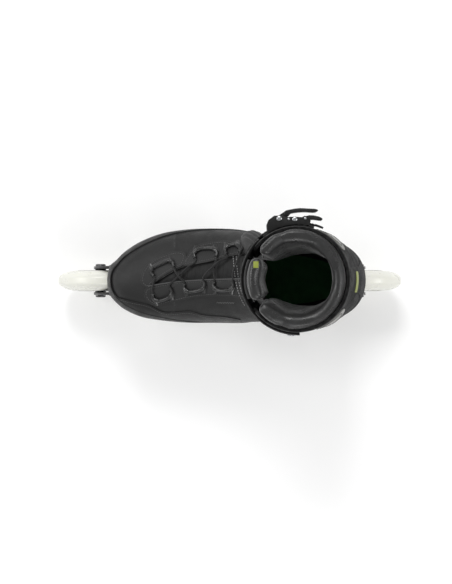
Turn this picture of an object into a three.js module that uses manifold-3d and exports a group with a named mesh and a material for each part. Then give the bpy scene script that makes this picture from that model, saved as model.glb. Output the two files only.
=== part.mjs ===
// A right inline skate with four wheels in line: a one-piece aluminium frame, a laced soft boot, a hinged
// cuff and a ratchet buckle. Millimetres, +Z up, +X towards the toe, so the buckle is on the -Y (outer) side.
// The wheels and the frame are drawn from the ground up, about the wheel line at y = 0. The boot and all that
// is on it are drawn from the underside of the sole up, in a group of their own that stands on the frame.
import * as THREE from "three";
import { mergeVertices } from "three/addons/utils/BufferGeometryUtils.js";
import Module from "manifold-3d";

const wasm = await Module();
wasm.setup();

// ---------------------------------------------------------------- driving dimensions
const GAP = 0.3; // air between pieces that rest on each other
const RUN = 0.3; // radial clearance of a shaft in its hole

const WHEEL_R = 50;
const WHEEL_GAP = 2; // between two tyres
const TYRE_HALF_WIDTH = 11.9;
const CORE_R = 27;
const CORE_HALF_WIDTH = 12.2;
const BEARING_R = 11;
const BEARING_BORE_R = 4;
const BEARING_WIDTH = 7;
const BEARING_OUTER_FACE = 12.1; // from the wheel's middle plane to a bearing's outer face
const AXLE_R = BEARING_BORE_R - RUN;
const AXLE_HEAD_R = 6;
const AXLE_HEAD = 2.4;

const FRAME_HALF_WIDTH = 17;
const FRAME_WALL = 3.3;
const AXLE_BOSS_R = 8;
const DECK_THICKNESS = 7;
const MOUNT_SPACING = 195; // between the two frame bolts
const MOUNT_BOLT_R = 4;
const MOUNT_HEAD_R = 6.5;
const MOUNT_HEAD = 5;

const SOLE_CLEARANCE = 12; // from the top of the wheels to the underside of the sole at the toe
const HEEL_RISE = 10;
const RISE_START = 48; // the sole starts to rise towards the heel here
const RISE_LENGTH = 110;
const SOLE_THICKNESS = 8;
const UPPER_WALL = 3.5;
const LINER_THICKNESS = 5;
const COLLAR_THICKNESS = 15;
const TONGUE_THICKNESS = 9;
const FOOTBED_THICKNESS = 3.5;
const OVERLAY = 1.3; // thickness of the toe rand and the heel counter
const RAND_TOP = 38;
const INSTEP_STRAP = 2.2;

const CUFF_CLEARANCE = 4; // from the upper to the inside of the cuff
const CUFF_WALL = 3.2;
const CUFF_FLEX = 12; // degrees of forward lean
const PIVOT = { x: -72, z: 93 };
const PIVOT_BOLT_R = 4;
const PIVOT_HEAD_R = 8;
const PIVOT_HEAD = 2.2;

const STRAP_Z = 170; // lower edge of the cuff strap
const STRAP_WIDTH = 32;
const STRAP_THICKNESS = 3.4;
const LADDER_WIDTH = 20;
const LADDER_THICKNESS = 2.4;
const BUCKLE_CHEEK = 1.8;
const BUCKLE_PIN_R = 1.5;
const BUCKLE_RIVET_R = 2.6;
const BUCKLE_RIVET = 1;

const LACE_R = 1.1;
const LOOP_R = 2.4;

const FOOTPRINT_SHIFT = 7.8; // from the wheel line's place to the footprint's centre

const AXLE_Z = WHEEL_R;
const WHEEL_PITCH = 2 * WHEEL_R + WHEEL_GAP;
const SOLE_Z = 2 * WHEEL_R + SOLE_CLEARANCE;
const AXLES = [1.5, 0.5, -0.5, -1.5].map((k) => k * WHEEL_PITCH);
const UPPER_Z = SOLE_THICKNESS + GAP;
const BUCKLE_Z = STRAP_Z + STRAP_WIDTH / 2;

const FINISH = {
  urethane: { color: 0xeeede6, roughness: 0.35, metalness: 0 },
  core: { color: 0x2a2b2d, roughness: 0.5, metalness: 0 },
  steel: { color: 0xb9bbbd, roughness: 0.3, metalness: 1 },
  frame: { color: 0x232527, roughness: 0.4, metalness: 0.9 },
  plastic: { color: 0x1c1d1f, roughness: 0.45, metalness: 0 },
  upper: { color: 0x34353a, roughness: 0.6, metalness: 0 },
  lining: { color: 0x26272a, roughness: 0.9, metalness: 0 },
  footbed: { color: 0x1f4a2a, roughness: 0.9, metalness: 0 },
  silver: { color: 0xd0d0cc, roughness: 0.3, metalness: 0 },
  lace: { color: 0x141416, roughness: 0.8, metalness: 0 },
};

// ---------------------------------------------------------------- solids
function solidOf(geometry) {
  const bare = geometry.clone();
  bare.deleteAttribute("normal");
  bare.deleteAttribute("uv");
  const merged = mergeVertices(bare, 1e-4);
  const vertProperties = new Float32Array(merged.attributes.position.array);
  const triVerts = new Uint32Array(merged.index.array);
  return new wasm.Manifold(new wasm.Mesh({ numProp: 3, vertProperties, triVerts }));
}

function geometryOf(solid) {
  const { numProp, numVert, vertProperties, triVerts } = solid.getMesh();
  const position = new Float32Array(numVert * 3);
  for (let i = 0; i < numVert; i++) {
    position.set(vertProperties.subarray(i * numProp, i * numProp + 3), i * 3);
  }
  const geometry = new THREE.BufferGeometry();
  geometry.setAttribute("position", new THREE.BufferAttribute(position, 3));
  geometry.setIndex(new THREE.BufferAttribute(new Uint32Array(triVerts), 1));
  geometry.computeVertexNormals();
  return geometry;
}

// A closed solid through rings of points, each ring the same length, with a flat fan over each end.
function loft(rings) {
  const n = rings[0].length;
  const points = rings.flat();
  const index = [];
  const quad = (a, b, c, d) => index.push(a, b, c, a, c, d);
  for (let r = 0; r + 1 < rings.length; r++) {
    for (let i = 0; i < n; i++) {
      const j = (i + 1) % n;
      quad(r * n + i, r * n + j, (r + 1) * n + j, (r + 1) * n + i);
    }
  }
  for (const [first, flip] of [[0, true], [(rings.length - 1) * n, false]]) {
    const centre = new THREE.Vector3();
    for (let i = 0; i < n; i++) centre.addScaledVector(points[first + i], 1 / n);
    const c = points.push(centre) - 1;
    for (let i = 0; i < n; i++) {
      const a = first + i;
      const b = first + ((i + 1) % n);
      index.push(...(flip ? [c, b, a] : [c, a, b]));
    }
  }
  const facingOut = (order) => {
    const geometry = new THREE.BufferGeometry().setFromPoints(points);
    geometry.setIndex(order);
    return solidOf(geometry);
  };
  const solid = facingOut(index);
  return solid.volume() > 0 ? solid : facingOut(index.reverse());
}

// The same shape as straight runs, anticlockwise, without the doubled points that lie where its curves meet.
function cleaned(shape, curveSegments) {
  const tidy = (points) => points.filter((p, i) => p.distanceTo(points.at(i - 1)) > 1e-3);
  const rim = shape.getPoints(curveSegments);
  if (THREE.ShapeUtils.isClockWise(rim)) rim.reverse();
  return new THREE.Shape(tidy(rim));
}

function prism(shape, depth, curveSegments) {
  return new THREE.ExtrudeGeometry(cleaned(shape, curveSegments), { depth, bevelEnabled: false });
}

// A flat outline in the XY plane, pulled up from z0 to z1.
function slab(shape, z0, z1, curveSegments = 6) {
  return solidOf(prism(shape, z1 - z0, curveSegments).translate(0, 0, z0));
}

// A flat outline in the XZ plane, pulled across from y0 to y1.
function panel(shape, y0, y1, curveSegments = 6) {
  return solidOf(prism(shape, y1 - y0, curveSegments).rotateX(Math.PI / 2).translate(0, y1, 0));
}

const outline = (points) => new THREE.Shape(points.map(([x, y]) => new THREE.Vector2(x, y)));
const box = (x0, x1, y0, y1, z0, z1) =>
  solidOf(
    new THREE.BoxGeometry(x1 - x0, y1 - y0, z1 - z0).translate((x0 + x1) / 2, (y0 + y1) / 2, (z0 + z1) / 2),
  );

// A turned piece about an axis along Y. Its [radius, y] pairs start and end on the axis, or close up.
function turnedY(profile, segments, x, z, turn = 0) {
  const points = profile.map(([r, y]) => new THREE.Vector2(r, y));
  return solidOf(new THREE.LatheGeometry(points, segments).rotateY(turn).translate(x, 0, z));
}

// A turned piece about an axis along Z.
function turnedZ(profile, segments, x, y) {
  const points = profile.map(([r, z]) => new THREE.Vector2(r, z));
  return solidOf(new THREE.LatheGeometry(points, segments).rotateX(Math.PI / 2).translate(x, y, 0));
}

const rod = (r, a, b) => [[0, a], [r, a], [r, b], [0, b]];

// A round tube of radius r along a smooth line through the points.
function tube(points, r, steps, sides = 8) {
  const ring = new THREE.Shape();
  ring.absarc(0, 0, r, 0, 2 * Math.PI);
  const extrudePath = new THREE.CatmullRomCurve3(points, false, "centripetal");
  const section = outline(ring.getPoints(sides / 2).slice(0, -1).map((p) => [p.x, p.y]));
  return solidOf(new THREE.ExtrudeGeometry(section, { steps, extrudePath, curveSegments: 1 }));
}

const chassis = new THREE.Group(); // the wheels and the frame
const boot = new THREE.Group();
boot.position.z = SOLE_Z;
function addTo(group, name, solid, finish) {
  const mesh = new THREE.Mesh(geometryOf(solid), new THREE.MeshStandardMaterial(FINISH[finish]));
  mesh.name = name;
  group.add(mesh);
}

// ---------------------------------------------------------------- the boot's form
// Each station is one cross-section of the boot, from the toe, round the heel and up the leg. It runs from a
// point on the sole or back line to a point on the instep or shin line, [x, z] each, with the half widths on
// the outer and inner side, the height share of the widest level, and how round the lower half is (1 is an
// ellipse).
const STATIONS = [
  { base: [138.4, 14], crest: [138.4, 20], outer: 8, inner: 9, wide: 0.5, round: 1 },
  { base: [136, 9.5], crest: [135.5, 33], outer: 15.5, inner: 16, wide: 0.42, round: 0.8 },
  { base: [129.5, UPPER_Z], crest: [129, 42], outer: 21.5, inner: 24, wide: 0.38, round: 0.7 },
  { base: [119, UPPER_Z], crest: [118, 49], outer: 32, inner: 32.5, wide: 0.36, round: 0.6 },
  { base: [101, UPPER_Z], crest: [100, 54], outer: 43.5, inner: 40.5, wide: 0.35, round: 0.55 },
  { base: [77, UPPER_Z], crest: [76, 59.5], outer: 52.3, inner: 44.6, wide: 0.35, round: 0.55 },
  { base: [48, UPPER_Z + 0.2], crest: [46, 69], outer: 56.7, inner: 47, wide: 0.35, round: 0.55 },
  { base: [14, UPPER_Z + 3.9], crest: [15, 83], outer: 57.3, inner: 47, wide: 0.36, round: 0.55 },
  { base: [-22, UPPER_Z + 8.4], crest: [-8, 99], outer: 55.5, inner: 47.5, wide: 0.38, round: 0.55 },
  { base: [-62, UPPER_Z + HEEL_RISE], crest: [-20, 115], outer: 50, inner: 46.5, wide: 0.42, round: 0.55 },
  { base: [-103, UPPER_Z + HEEL_RISE], crest: [-24, 128], outer: 44.5, inner: 44, wide: 0.5, round: 0.6 },
  {
    base: [-133, UPPER_Z + HEEL_RISE + 5], crest: [-25, 138],
    outer: 41.5, inner: 41.5, wide: 0.55, round: 0.75,
  },
  { base: [-147.5, 48], crest: [-24.5, 147], outer: 42, inner: 42, wide: 0.55, round: 0.9 },
  { base: [-144, 83], crest: [-26, 159], outer: 44.5, inner: 44.5, wide: 0.5, round: 1 },
  { base: [-138, 128], crest: [-24.5, 178], outer: 46.5, inner: 46.5, wide: 0.5, round: 1 },
  { base: [-125, 178], crest: [-21.5, 200], outer: 48.3, inner: 48, wide: 0.5, round: 1 },
  { base: [-119, 215], crest: [-21.5, 221], outer: 49, inner: 48.6, wide: 0.5, round: 1 },
];
const RING_POINTS = 18;
const TOE_X = STATIONS[0].base[0];
const TOE_TAPER = 40; // length over which an offset also moves the toe back

// One ring of the boot at station u, moved outwards by d from the upper's outer face.
function bootRing(station, d) {
  const base = new THREE.Vector2(...station.base);
  const crest = new THREE.Vector2(...station.crest);
  const along = crest.clone().sub(base);
  const reach = along.length();
  along.normalize();
  const atToe = THREE.MathUtils.clamp(1 - (TOE_X - crest.x) / TOE_TAPER, 0, 1);
  const shrink = Math.max(-0.45 * reach, d); // a thin toe section can't lose more than its own height
  base.addScaledVector(along, -shrink);
  crest.addScaledVector(along, shrink);
  const ring = [];
  for (let i = 0; i < RING_POINTS; i++) {
    const angle = (2 * Math.PI * i) / RING_POINTS;
    const c = Math.cos(angle);
    const s = Math.sin(angle);
    const power = c > 0 ? station.round : 1;
    const share = c > 0 ? station.wide * (1 - c ** power) : station.wide + (1 - station.wide) * -c;
    const width = Math.max(1, (s < 0 ? station.outer : station.inner) + d) * Math.abs(s) ** power;
    const p = base.clone().lerp(crest, share);
    ring.push(new THREE.Vector3(p.x + d * atToe, Math.sign(s) * width, p.y));
  }
  return ring;
}

// The boot's form moved outwards by d, from one station to another.
function form(d, from = 0, to = STATIONS.length - 1) {
  return loft(STATIONS.slice(from, to + 1).map((station) => bootRing(station, d)));
}

// The layer of the boot between two offsets. The inner form runs on past the top, so the layer is open there.
function layer(outside, inside, top = STATIONS.length - 1) {
  const rings = STATIONS.slice(0, top + 1).map((station) => bootRing(station, inside));
  const last = rings.at(-1);
  rings.push(last.map((p) => p.clone().add(new THREE.Vector3(2, 0, 20))));
  return form(outside, 0, top).subtract(loft(rings));
}

const bothSides = new THREE.MeshBasicMaterial({ side: THREE.DoubleSide });
const upperMesh = new THREE.Mesh(geometryOf(form(0)), bothSides);
function firstHit(origin, direction) {
  return new THREE.Raycaster(origin, direction).intersectObject(upperMesh)[0];
}
// The point at a distance off the upper, square to it, from a place seen from above.
function offUpper(x, y, lift) {
  const { point, face } = firstHit(new THREE.Vector3(x, y, 500), new THREE.Vector3(0, 0, -1));
  return point.clone().addScaledVector(face.normal, lift * Math.sign(face.normal.z));
}
// The upper's half width at a place seen from a side (-1 is outer).
const sideAt = (x, z, side) =>
  Math.abs(firstHit(new THREE.Vector3(x, side * 200, z), new THREE.Vector3(0, -side, 0)).point.y);

// The wedge above the cuff's pivot between two rays, whose angles are measured up from +X.
function wedge(front, back, lift = 0) {
  const far = 400;
  const ray = (angle) => {
    const a = THREE.MathUtils.degToRad(angle);
    return [PIVOT.x + far * Math.cos(a), PIVOT.z + lift + far * Math.sin(a)];
  };
  const points = [[PIVOT.x, PIVOT.z + lift], ray(front), ray((front + back) / 2), ray(back)];
  return panel(outline(points), -200, 200);
}
const FRONT_RAY = 24; // the fixed boot ends below this ray in front and behind
const BACK_RAY = 172;
const overFixed = wedge(FRONT_RAY, BACK_RAY);
const movingZone = wedge(FRONT_RAY + CUFF_FLEX + 2, BACK_RAY - 2, 2);

// ---------------------------------------------------------------- wheels and axles
function addWheel(number, x) {
  const name = `wheel_${number}`;
  const segments = 24;
  const half = Math.PI / segments;
  const crown = WHEEL_R / Math.cos(half); // a flat of the tread, not a corner, touches the ground
  const treadHalf = 2;
  const side = [];
  const sideSteps = 3;
  for (let i = 0; i <= sideSteps; i++) {
    const a = (Math.PI / 2) * (i / sideSteps);
    const y = treadHalf + (TYRE_HALF_WIDTH - treadHalf) * Math.sin(a);
    side.push([CORE_R + GAP + (crown - CORE_R - GAP) * Math.cos(a), y]);
  }
  const tyre = [...side.map(([r, y]) => [r, -y]).reverse(), ...side];
  tyre.push(tyre[0]);
  // LatheGeometry starts its seam on +Z of its own frame: half a segment of turn puts a flat below the axle.
  addTo(chassis, `${name}_tyre`, turnedY(tyre, segments, x, AXLE_Z, half), "urethane");

  const web = 3.2;
  const hubR = BEARING_R + 4;
  const rimInner = CORE_R - 4;
  const shoulder = BEARING_OUTER_FACE - BEARING_WIDTH - GAP;
  const seatR = BEARING_R + GAP;
  const bore = BEARING_R - 2;
  const core = [
    [seatR, -CORE_HALF_WIDTH], [hubR, -CORE_HALF_WIDTH], [hubR, -web], [rimInner, -web],
    [rimInner, -CORE_HALF_WIDTH], [CORE_R, -CORE_HALF_WIDTH], [CORE_R, CORE_HALF_WIDTH],
    [rimInner, CORE_HALF_WIDTH], [rimInner, web], [hubR, web], [hubR, CORE_HALF_WIDTH],
    [seatR, CORE_HALF_WIDTH], [seatR, shoulder], [bore, shoulder], [bore, -shoulder], [seatR, -shoulder],
    [seatR, -CORE_HALF_WIDTH],
  ];
  addTo(chassis, `${name}_core`, turnedY(core, 14, x, AXLE_Z), "core");

  for (const [side, sign] of [["outer", -1], ["inner", 1]]) {
    const near = BEARING_OUTER_FACE - BEARING_WIDTH;
    const ring = [
      [BEARING_BORE_R, near], [BEARING_R, near], [BEARING_R, BEARING_OUTER_FACE],
      [BEARING_BORE_R, BEARING_OUTER_FACE], [BEARING_BORE_R, near],
    ];
    const placed = sign > 0 ? ring : ring.map(([r, y]) => [r, -y]).reverse();
    addTo(chassis, `${name}_bearing_${side}`, turnedY(placed, 16, x, AXLE_Z), "steel");
  }

  const spacerHalf = BEARING_OUTER_FACE - BEARING_WIDTH - GAP;
  const spacer = [
    [BEARING_BORE_R, -spacerHalf], [BEARING_BORE_R + 1.6, -spacerHalf],
    [BEARING_BORE_R + 1.6, spacerHalf], [BEARING_BORE_R, spacerHalf], [BEARING_BORE_R, -spacerHalf],
  ];
  addTo(chassis, `wheel_${number}_spacer`, turnedY(spacer, 12, x, AXLE_Z), "steel");

  const headFace = FRAME_HALF_WIDTH + GAP;
  const tip = headFace + AXLE_HEAD;
  const socketR = 2.3;
  const axle = [
    [0, -tip + 1.4], [socketR, -tip + 1.4], [socketR, -tip], [AXLE_HEAD_R, -tip], [AXLE_HEAD_R, -headFace],
    [AXLE_R, -headFace], [AXLE_R, headFace], [AXLE_HEAD_R, headFace], [AXLE_HEAD_R, tip],
    [socketR, tip], [socketR, tip - 1.4], [0, tip - 1.4],
  ];
  addTo(chassis, `axle_${number}`, turnedY(axle, 10, x, AXLE_Z), "steel");
}
AXLES.forEach((x, i) => addWheel(i + 1, x));

// ---------------------------------------------------------------- frame
const SHOULDER_Z = SOLE_Z - 29; // how far down the frame's two ends keep their width
const WINDOW_HALF = 15;
const WINDOW_TOP = SOLE_Z - 18;
const WINDOW_LOW = WINDOW_TOP - 18;
const FRONT_MOUNT = { x: MOUNT_SPACING / 2, top: SOLE_Z - GAP };
const REAR_MOUNT = { x: -MOUNT_SPACING / 2, top: SOLE_Z + HEEL_RISE - GAP };

function wallShape() {
  const front = AXLES[0];
  const rear = AXLES.at(-1);
  const wall = new THREE.Shape();
  wall.moveTo(front + AXLE_BOSS_R, AXLE_Z);
  AXLES.forEach((x, i) => {
    wall.absarc(x, AXLE_Z, AXLE_BOSS_R, 0, Math.PI, true);
    const next = AXLES[i + 1];
    if (next !== undefined) wall.quadraticCurveTo((x + next) / 2, AXLE_Z + 34, next + AXLE_BOSS_R, AXLE_Z);
  });
  wall.quadraticCurveTo(rear - 4, SHOULDER_Z, rear + 22, REAR_MOUNT.top);
  wall.lineTo(REAR_MOUNT.x + 36, REAR_MOUNT.top);
  wall.quadraticCurveTo(-36, FRONT_MOUNT.top - 8, -10, FRONT_MOUNT.top - 8);
  wall.lineTo(30, FRONT_MOUNT.top - 8);
  wall.lineTo(44, FRONT_MOUNT.top);
  wall.lineTo(front - 24, FRONT_MOUNT.top);
  wall.quadraticCurveTo(front + 4, SHOULDER_Z, front + AXLE_BOSS_R, AXLE_Z);
  return wall;
}

function windowShape(middle) {
  const window = new THREE.Shape();
  window.moveTo(middle - WINDOW_HALF, WINDOW_TOP);
  window.lineTo(middle + WINDOW_HALF, WINDOW_TOP);
  window.quadraticCurveTo(middle + WINDOW_HALF - 1, WINDOW_LOW + 4, middle, WINDOW_LOW);
  window.quadraticCurveTo(middle - WINDOW_HALF + 1, WINDOW_LOW + 4, middle - WINDOW_HALF, WINDOW_TOP);
  return window;
}

function makeFrame() {
  const inside = FRAME_HALF_WIDTH - FRAME_WALL;
  const shape = wallShape();
  const deck = (mount) => {
    const low = mount.top - DECK_THICKNESS;
    return box(mount.x - 30, mount.x + 30, -FRAME_HALF_WIDTH, FRAME_HALF_WIDTH, low, mount.top);
  };
  let frame = panel(shape, inside, FRAME_HALF_WIDTH, 4).add(panel(shape, -FRAME_HALF_WIDTH, -inside, 4));
  for (const middle of [WHEEL_PITCH, 0, -WHEEL_PITCH]) {
    frame = frame.subtract(panel(windowShape(middle), -30, 30, 4));
  }
  frame = frame.add(deck(FRONT_MOUNT)).add(deck(REAR_MOUNT));
  const bridgeTop = FRONT_MOUNT.top - 8;
  frame = frame.add(box(-16, 16, -inside - 1, inside + 1, bridgeTop - 4, bridgeTop)); // stiffens the middle
  for (const x of AXLES) {
    for (const sign of [-1, 1]) {
      const face = sign * (BEARING_OUTER_FACE + GAP);
      const boss = turnedY(
        rod(AXLE_BOSS_R - 1.5, Math.min(face, sign * inside), Math.max(face, sign * inside)),
        10, x, AXLE_Z,
      );
      frame = frame.add(boss);
    }
    frame = frame.subtract(turnedY(rod(AXLE_R + RUN, -30, 30), 10, x, AXLE_Z));
  }
  for (const mount of [FRONT_MOUNT, REAR_MOUNT]) {
    frame = frame.subtract(turnedZ(rod(MOUNT_BOLT_R + RUN, mount.top - 20, mount.top + 5), 12, mount.x, 0));
  }
  return frame;
}
addTo(chassis, "frame", makeFrame(), "frame");

for (const [name, mount] of [["front_mount_bolt", FRONT_MOUNT], ["rear_mount_bolt", REAR_MOUNT]]) {
  const under = mount.top - DECK_THICKNESS - GAP;
  const tip = mount.top + SOLE_THICKNESS - 2;
  const profile = [
    [0, under - MOUNT_HEAD + 3], [3, under - MOUNT_HEAD + 3], [3, under - MOUNT_HEAD],
    [MOUNT_HEAD_R, under - MOUNT_HEAD], [MOUNT_HEAD_R, under], [MOUNT_BOLT_R, under],
    [MOUNT_BOLT_R, tip], [0, tip],
  ];
  addTo(chassis, name, turnedZ(profile, 12, mount.x, 0), "steel");
}

// ---------------------------------------------------------------- sole, upper, liner
// The sole follows the boot's stations: its share of each half width, from the toe to the heel.
const SOLE_SHARE = [1, 0.98, 0.97, 0.96, 0.95, 0.94, 0.93, 0.91, 0.89, 0.87, 0.85, 0.76, 0.4];

function soleRings(bottom, top, inset) {
  return SOLE_SHARE.map((share, i) => {
    const { base, outer, inner } = STATIONS[i];
    const x = base[0] - inset * (i < 2 ? 1 : i > 10 ? -1 : 0);
    const rise = HEEL_RISE * THREE.MathUtils.clamp((RISE_START - x) / RISE_LENGTH, 0, 1);
    const y0 = -(outer * share - inset);
    const y1 = inner * share - inset;
    return [
      [x, y0, bottom + rise], [x, y1, bottom + rise], [x, y1, top + rise], [x, y0, top + rise],
    ].map((p) => new THREE.Vector3(...p));
  });
}

function makeOutsole() {
  let sole = loft(soleRings(0, SOLE_THICKNESS, 1.5));
  for (const { x, top } of [FRONT_MOUNT, REAR_MOUNT]) {
    const under = top - SOLE_Z;
    sole = sole.subtract(turnedZ(rod(MOUNT_BOLT_R + RUN, under - 5, under + SOLE_THICKNESS - 1.5), 12, x, 0));
  }
  return sole;
}
addTo(boot, "outsole", makeOutsole(), "plastic");

// The throat, from its point behind the toe box back to the ankle. It runs towards the outer side on its way.
const THROAT_TIP = [89, 5.5];
const THROAT = [
  { x: 57, outer: -13, inner: 0.5 },
  { x: 22, outer: -20.5, inner: -1.5 },
  { x: -17, outer: -29.5, inner: -2.5 },
  { x: -60, outer: -36, inner: 10 },
];
function throatCut(extra) {
  const outerEdge = THROAT.map(({ x, outer }) => [x, outer - extra]);
  const innerEdge = THROAT.map(({ x, inner }) => [x, inner + extra]).reverse();
  return slab(outline([[THROAT_TIP[0] + extra, THROAT_TIP[1]], ...outerEdge, ...innerEdge]), 38, 308);
}

const ANKLE_STATION = 14;
const pivotHole = (r) => turnedY(rod(r, -120, 120), 12, PIVOT.x, PIVOT.z);
const pivotEar = turnedY(rod(PIVOT_HEAD_R + 5, -120, 120), 14, PIVOT.x, PIVOT.z);
const upper = layer(0, -UPPER_WALL, ANKLE_STATION)
  .subtract(overFixed.subtract(pivotEar))
  .subtract(throatCut(0))
  .subtract(pivotHole(PIVOT_BOLT_R + RUN));
// It is sewn from a toe box and two quarters, which meet along the sole and up the heel.
const VAMP_SEAM = 62;
addTo(boot, "toe_box", upper.intersect(box(VAMP_SEAM, 200, -100, 100, -10, 300)), "upper");
// The quarters part along y = 0, except in front, where the throat lies to the outer side.
const THROAT_LINE = -8;
function quarterZone(side) {
  const whole = side > 0 ? [GAP / 2, 100] : [-100, -GAP / 2];
  const atThroat = box(-100, VAMP_SEAM, THROAT_LINE - GAP / 2, GAP / 2, 40, 300);
  const zone = box(-200, VAMP_SEAM - GAP, ...whole, -10, 300);
  return side > 0 ? zone.add(atThroat.translate(0, GAP, 0)) : zone.subtract(atThroat);
}
addTo(boot, "quarter_inner", upper.intersect(quarterZone(1)), "upper");
addTo(boot, "quarter_outer", upper.intersect(quarterZone(-1)), "upper");

// The rand is a low band that wraps the front of the upper, and the heel counter a taller one round the back.
const RAND_END = -12; // where the rand stops behind the ball of the foot
const randRise = (HEEL_RISE * (RISE_START - RAND_END)) / RISE_LENGTH;
const randZone = outline([
  [200, UPPER_Z + 1], [RISE_START, UPPER_Z + 1], [RAND_END, UPPER_Z + 1 + randRise],
  [RAND_END, RAND_TOP + randRise], [RISE_START, RAND_TOP], [200, RAND_TOP],
]);
const randLayer = form(GAP + OVERLAY, 0, 10).subtract(form(GAP, 0, 11));
addTo(boot, "toe_rand", randLayer.intersect(panel(randZone, -100, 100)), "plastic");
const counterZone = panel(outline([[-200, 22], [-78, 22], [-96, 40], [-118, 56], [-200, 60]]), -90, 90);
addTo(boot, "heel_counter", form(GAP + OVERLAY).subtract(form(GAP)).intersect(counterZone), "plastic");

const LINER_OUT = -UPPER_WALL - 0.4;
const LINER_IN = LINER_OUT - LINER_THICKNESS;
const TONGUE_MARGIN = 5; // how far the tongue tucks under each edge of the throat
const liner = layer(LINER_OUT, LINER_IN, ANKLE_STATION)
  .subtract(overFixed)
  .subtract(throatCut(TONGUE_MARGIN + 0.6));
addTo(boot, "liner_foot", liner, "lining");

const tongueLayer = layer(LINER_OUT, LINER_OUT - TONGUE_THICKNESS, ANKLE_STATION);
const lowerTongue = tongueLayer
  .intersect(throatCut(TONGUE_MARGIN))
  .subtract(overFixed)
  .intersect(box(-60, 200, -100, 100, 48, 288));
addTo(boot, "tongue_lower", lowerTongue, "lining");

const footbedTop = SOLE_THICKNESS + UPPER_WALL + LINER_THICKNESS + 1.2 + FOOTBED_THICKNESS;
const footbedZone = loft(soleRings(footbedTop - 3 * FOOTBED_THICKNESS, footbedTop, -4).slice(3, 12));
addTo(boot, "footbed", form(LINER_IN - GAP).intersect(footbedZone), "footbed");

// The collar is a padded ring, open at the shin, where the tongue fills the gap. It moves with the cuff.
const COLLAR_OUT = CUFF_CLEARANCE - 0.4;
const SHIN_GAP = 24;
const shin = (half) => box(-66, 60, -half, half, -12, 308);
const aroundEar = turnedY(rod(PIVOT_HEAD_R + 6.5, -120, 120), 14, PIVOT.x, PIVOT.z);
const collarLayer = layer(COLLAR_OUT, COLLAR_OUT - COLLAR_THICKNESS)
  .intersect(movingZone)
  .subtract(aroundEar);
addTo(boot, "liner_collar", collarLayer.subtract(shin(SHIN_GAP)), "lining");
addTo(boot, "tongue_upper", collarLayer.intersect(shin(SHIN_GAP - 0.6)), "lining");

// ---------------------------------------------------------------- cuff
const cuffOutline = [
  [-24, 209], [-160, 209], [-170, 138], [-170, 64], [-132, 60], [-104, 72], [-84, 78], [-62, 78],
  [-52, 88], [-46, 124], [-32, 150], [-24, 178],
];
const SCREW = { x: -66, z: BUCKLE_Z, r: 2.2, head: 5 }; // holds the cuff strap's inner end
const screwHole = turnedY(rod(SCREW.r + RUN, 0, 120), 10, SCREW.x, SCREW.z);
const cuff = layer(CUFF_CLEARANCE + CUFF_WALL, CUFF_CLEARANCE)
  .intersect(panel(outline(cuffOutline), -120, 120))
  .subtract(pivotHole(PIVOT_BOLT_R + RUN))
  .subtract(screwHole);
addTo(boot, "cuff", cuff, "plastic");

for (const [name, side] of [["cuff_pivot_outer", -1], ["cuff_pivot_inner", 1]]) {
  const wall = sideAt(PIVOT.x, PIVOT.z, side);
  const head = wall + CUFF_CLEARANCE + CUFF_WALL + 2.2;
  const tip = wall - UPPER_WALL + 0.5;
  const profile = [[0, tip], [PIVOT_BOLT_R, tip], [PIVOT_BOLT_R, head], [PIVOT_HEAD_R, head],
    [PIVOT_HEAD_R - 1, head + PIVOT_HEAD], [0, head + PIVOT_HEAD]];
  const placed = side > 0 ? profile : profile.map(([r, y]) => [r, -y]).reverse();
  addTo(boot, name, turnedY(placed, 14, PIVOT.x, PIVOT.z), "steel");
}

const panelShape = outline([[-94, 194], [-124, 190], [-134, 156], [-122, 138], [-104, 150]]);
const PANEL_IN = CUFF_CLEARANCE + CUFF_WALL + GAP;
const PANEL_THICKNESS = 1.5;
const panelLayer = form(PANEL_IN + PANEL_THICKNESS).subtract(form(PANEL_IN));
addTo(boot, "cuff_panel_outer", panelLayer.intersect(panel(panelShape, -120, 0)), "silver");
addTo(boot, "cuff_panel_inner", panelLayer.intersect(panel(panelShape, 0, 120)), "silver");

// ---------------------------------------------------------------- cuff strap and ratchet buckle
// Everything here lies outside the cuff, each layer at its own distance from the boot's form.
const STRAP_IN = CUFF_CLEARANCE + CUFF_WALL + GAP;
const STRAP_OUT = STRAP_IN + STRAP_THICKNESS;
const LADDER_IN = STRAP_OUT + GAP;
const LADDER_OUT = LADDER_IN + LADDER_THICKNESS;
const CUFF_FRONT = -24;
const ring = (inside, outside) => form(outside).subtract(form(inside));

const strapZone = outline([[-72, 30], [-72, 90], [30, 90], [30, -90], [-33, -90], [-33, -30], [-50, 0]]);
const strap = ring(STRAP_IN, STRAP_OUT).intersect(slab(strapZone, STRAP_Z, STRAP_Z + STRAP_WIDTH));
addTo(boot, "cuff_strap", strap.subtract(screwHole), "plastic");
const padZone = outline([[CUFF_FRONT + 1, -90], [30, -90], [30, 90], [CUFF_FRONT + 1, 90]]);
const padRing = ring(COLLAR_OUT + GAP, STRAP_IN - GAP);
const PAD_MARGIN = 4; // the pad stands past both edges of the strap
const padBand = slab(padZone, STRAP_Z - PAD_MARGIN, STRAP_Z + STRAP_WIDTH + PAD_MARGIN);
addTo(boot, "cuff_strap_pad", padRing.intersect(padBand), "lining");

const ladderLow = BUCKLE_Z - LADDER_WIDTH / 2;
const ladderTop = BUCKLE_Z + LADDER_WIDTH / 2;
const ladderZone = outline([[-18, -20], [-18, -90], [-100, -90], [-100, -20]]);
const ladder = ring(LADDER_IN, LADDER_OUT).intersect(slab(ladderZone, ladderLow, ladderTop));
addTo(boot, "ladder_strap", ladder, "plastic");

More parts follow.
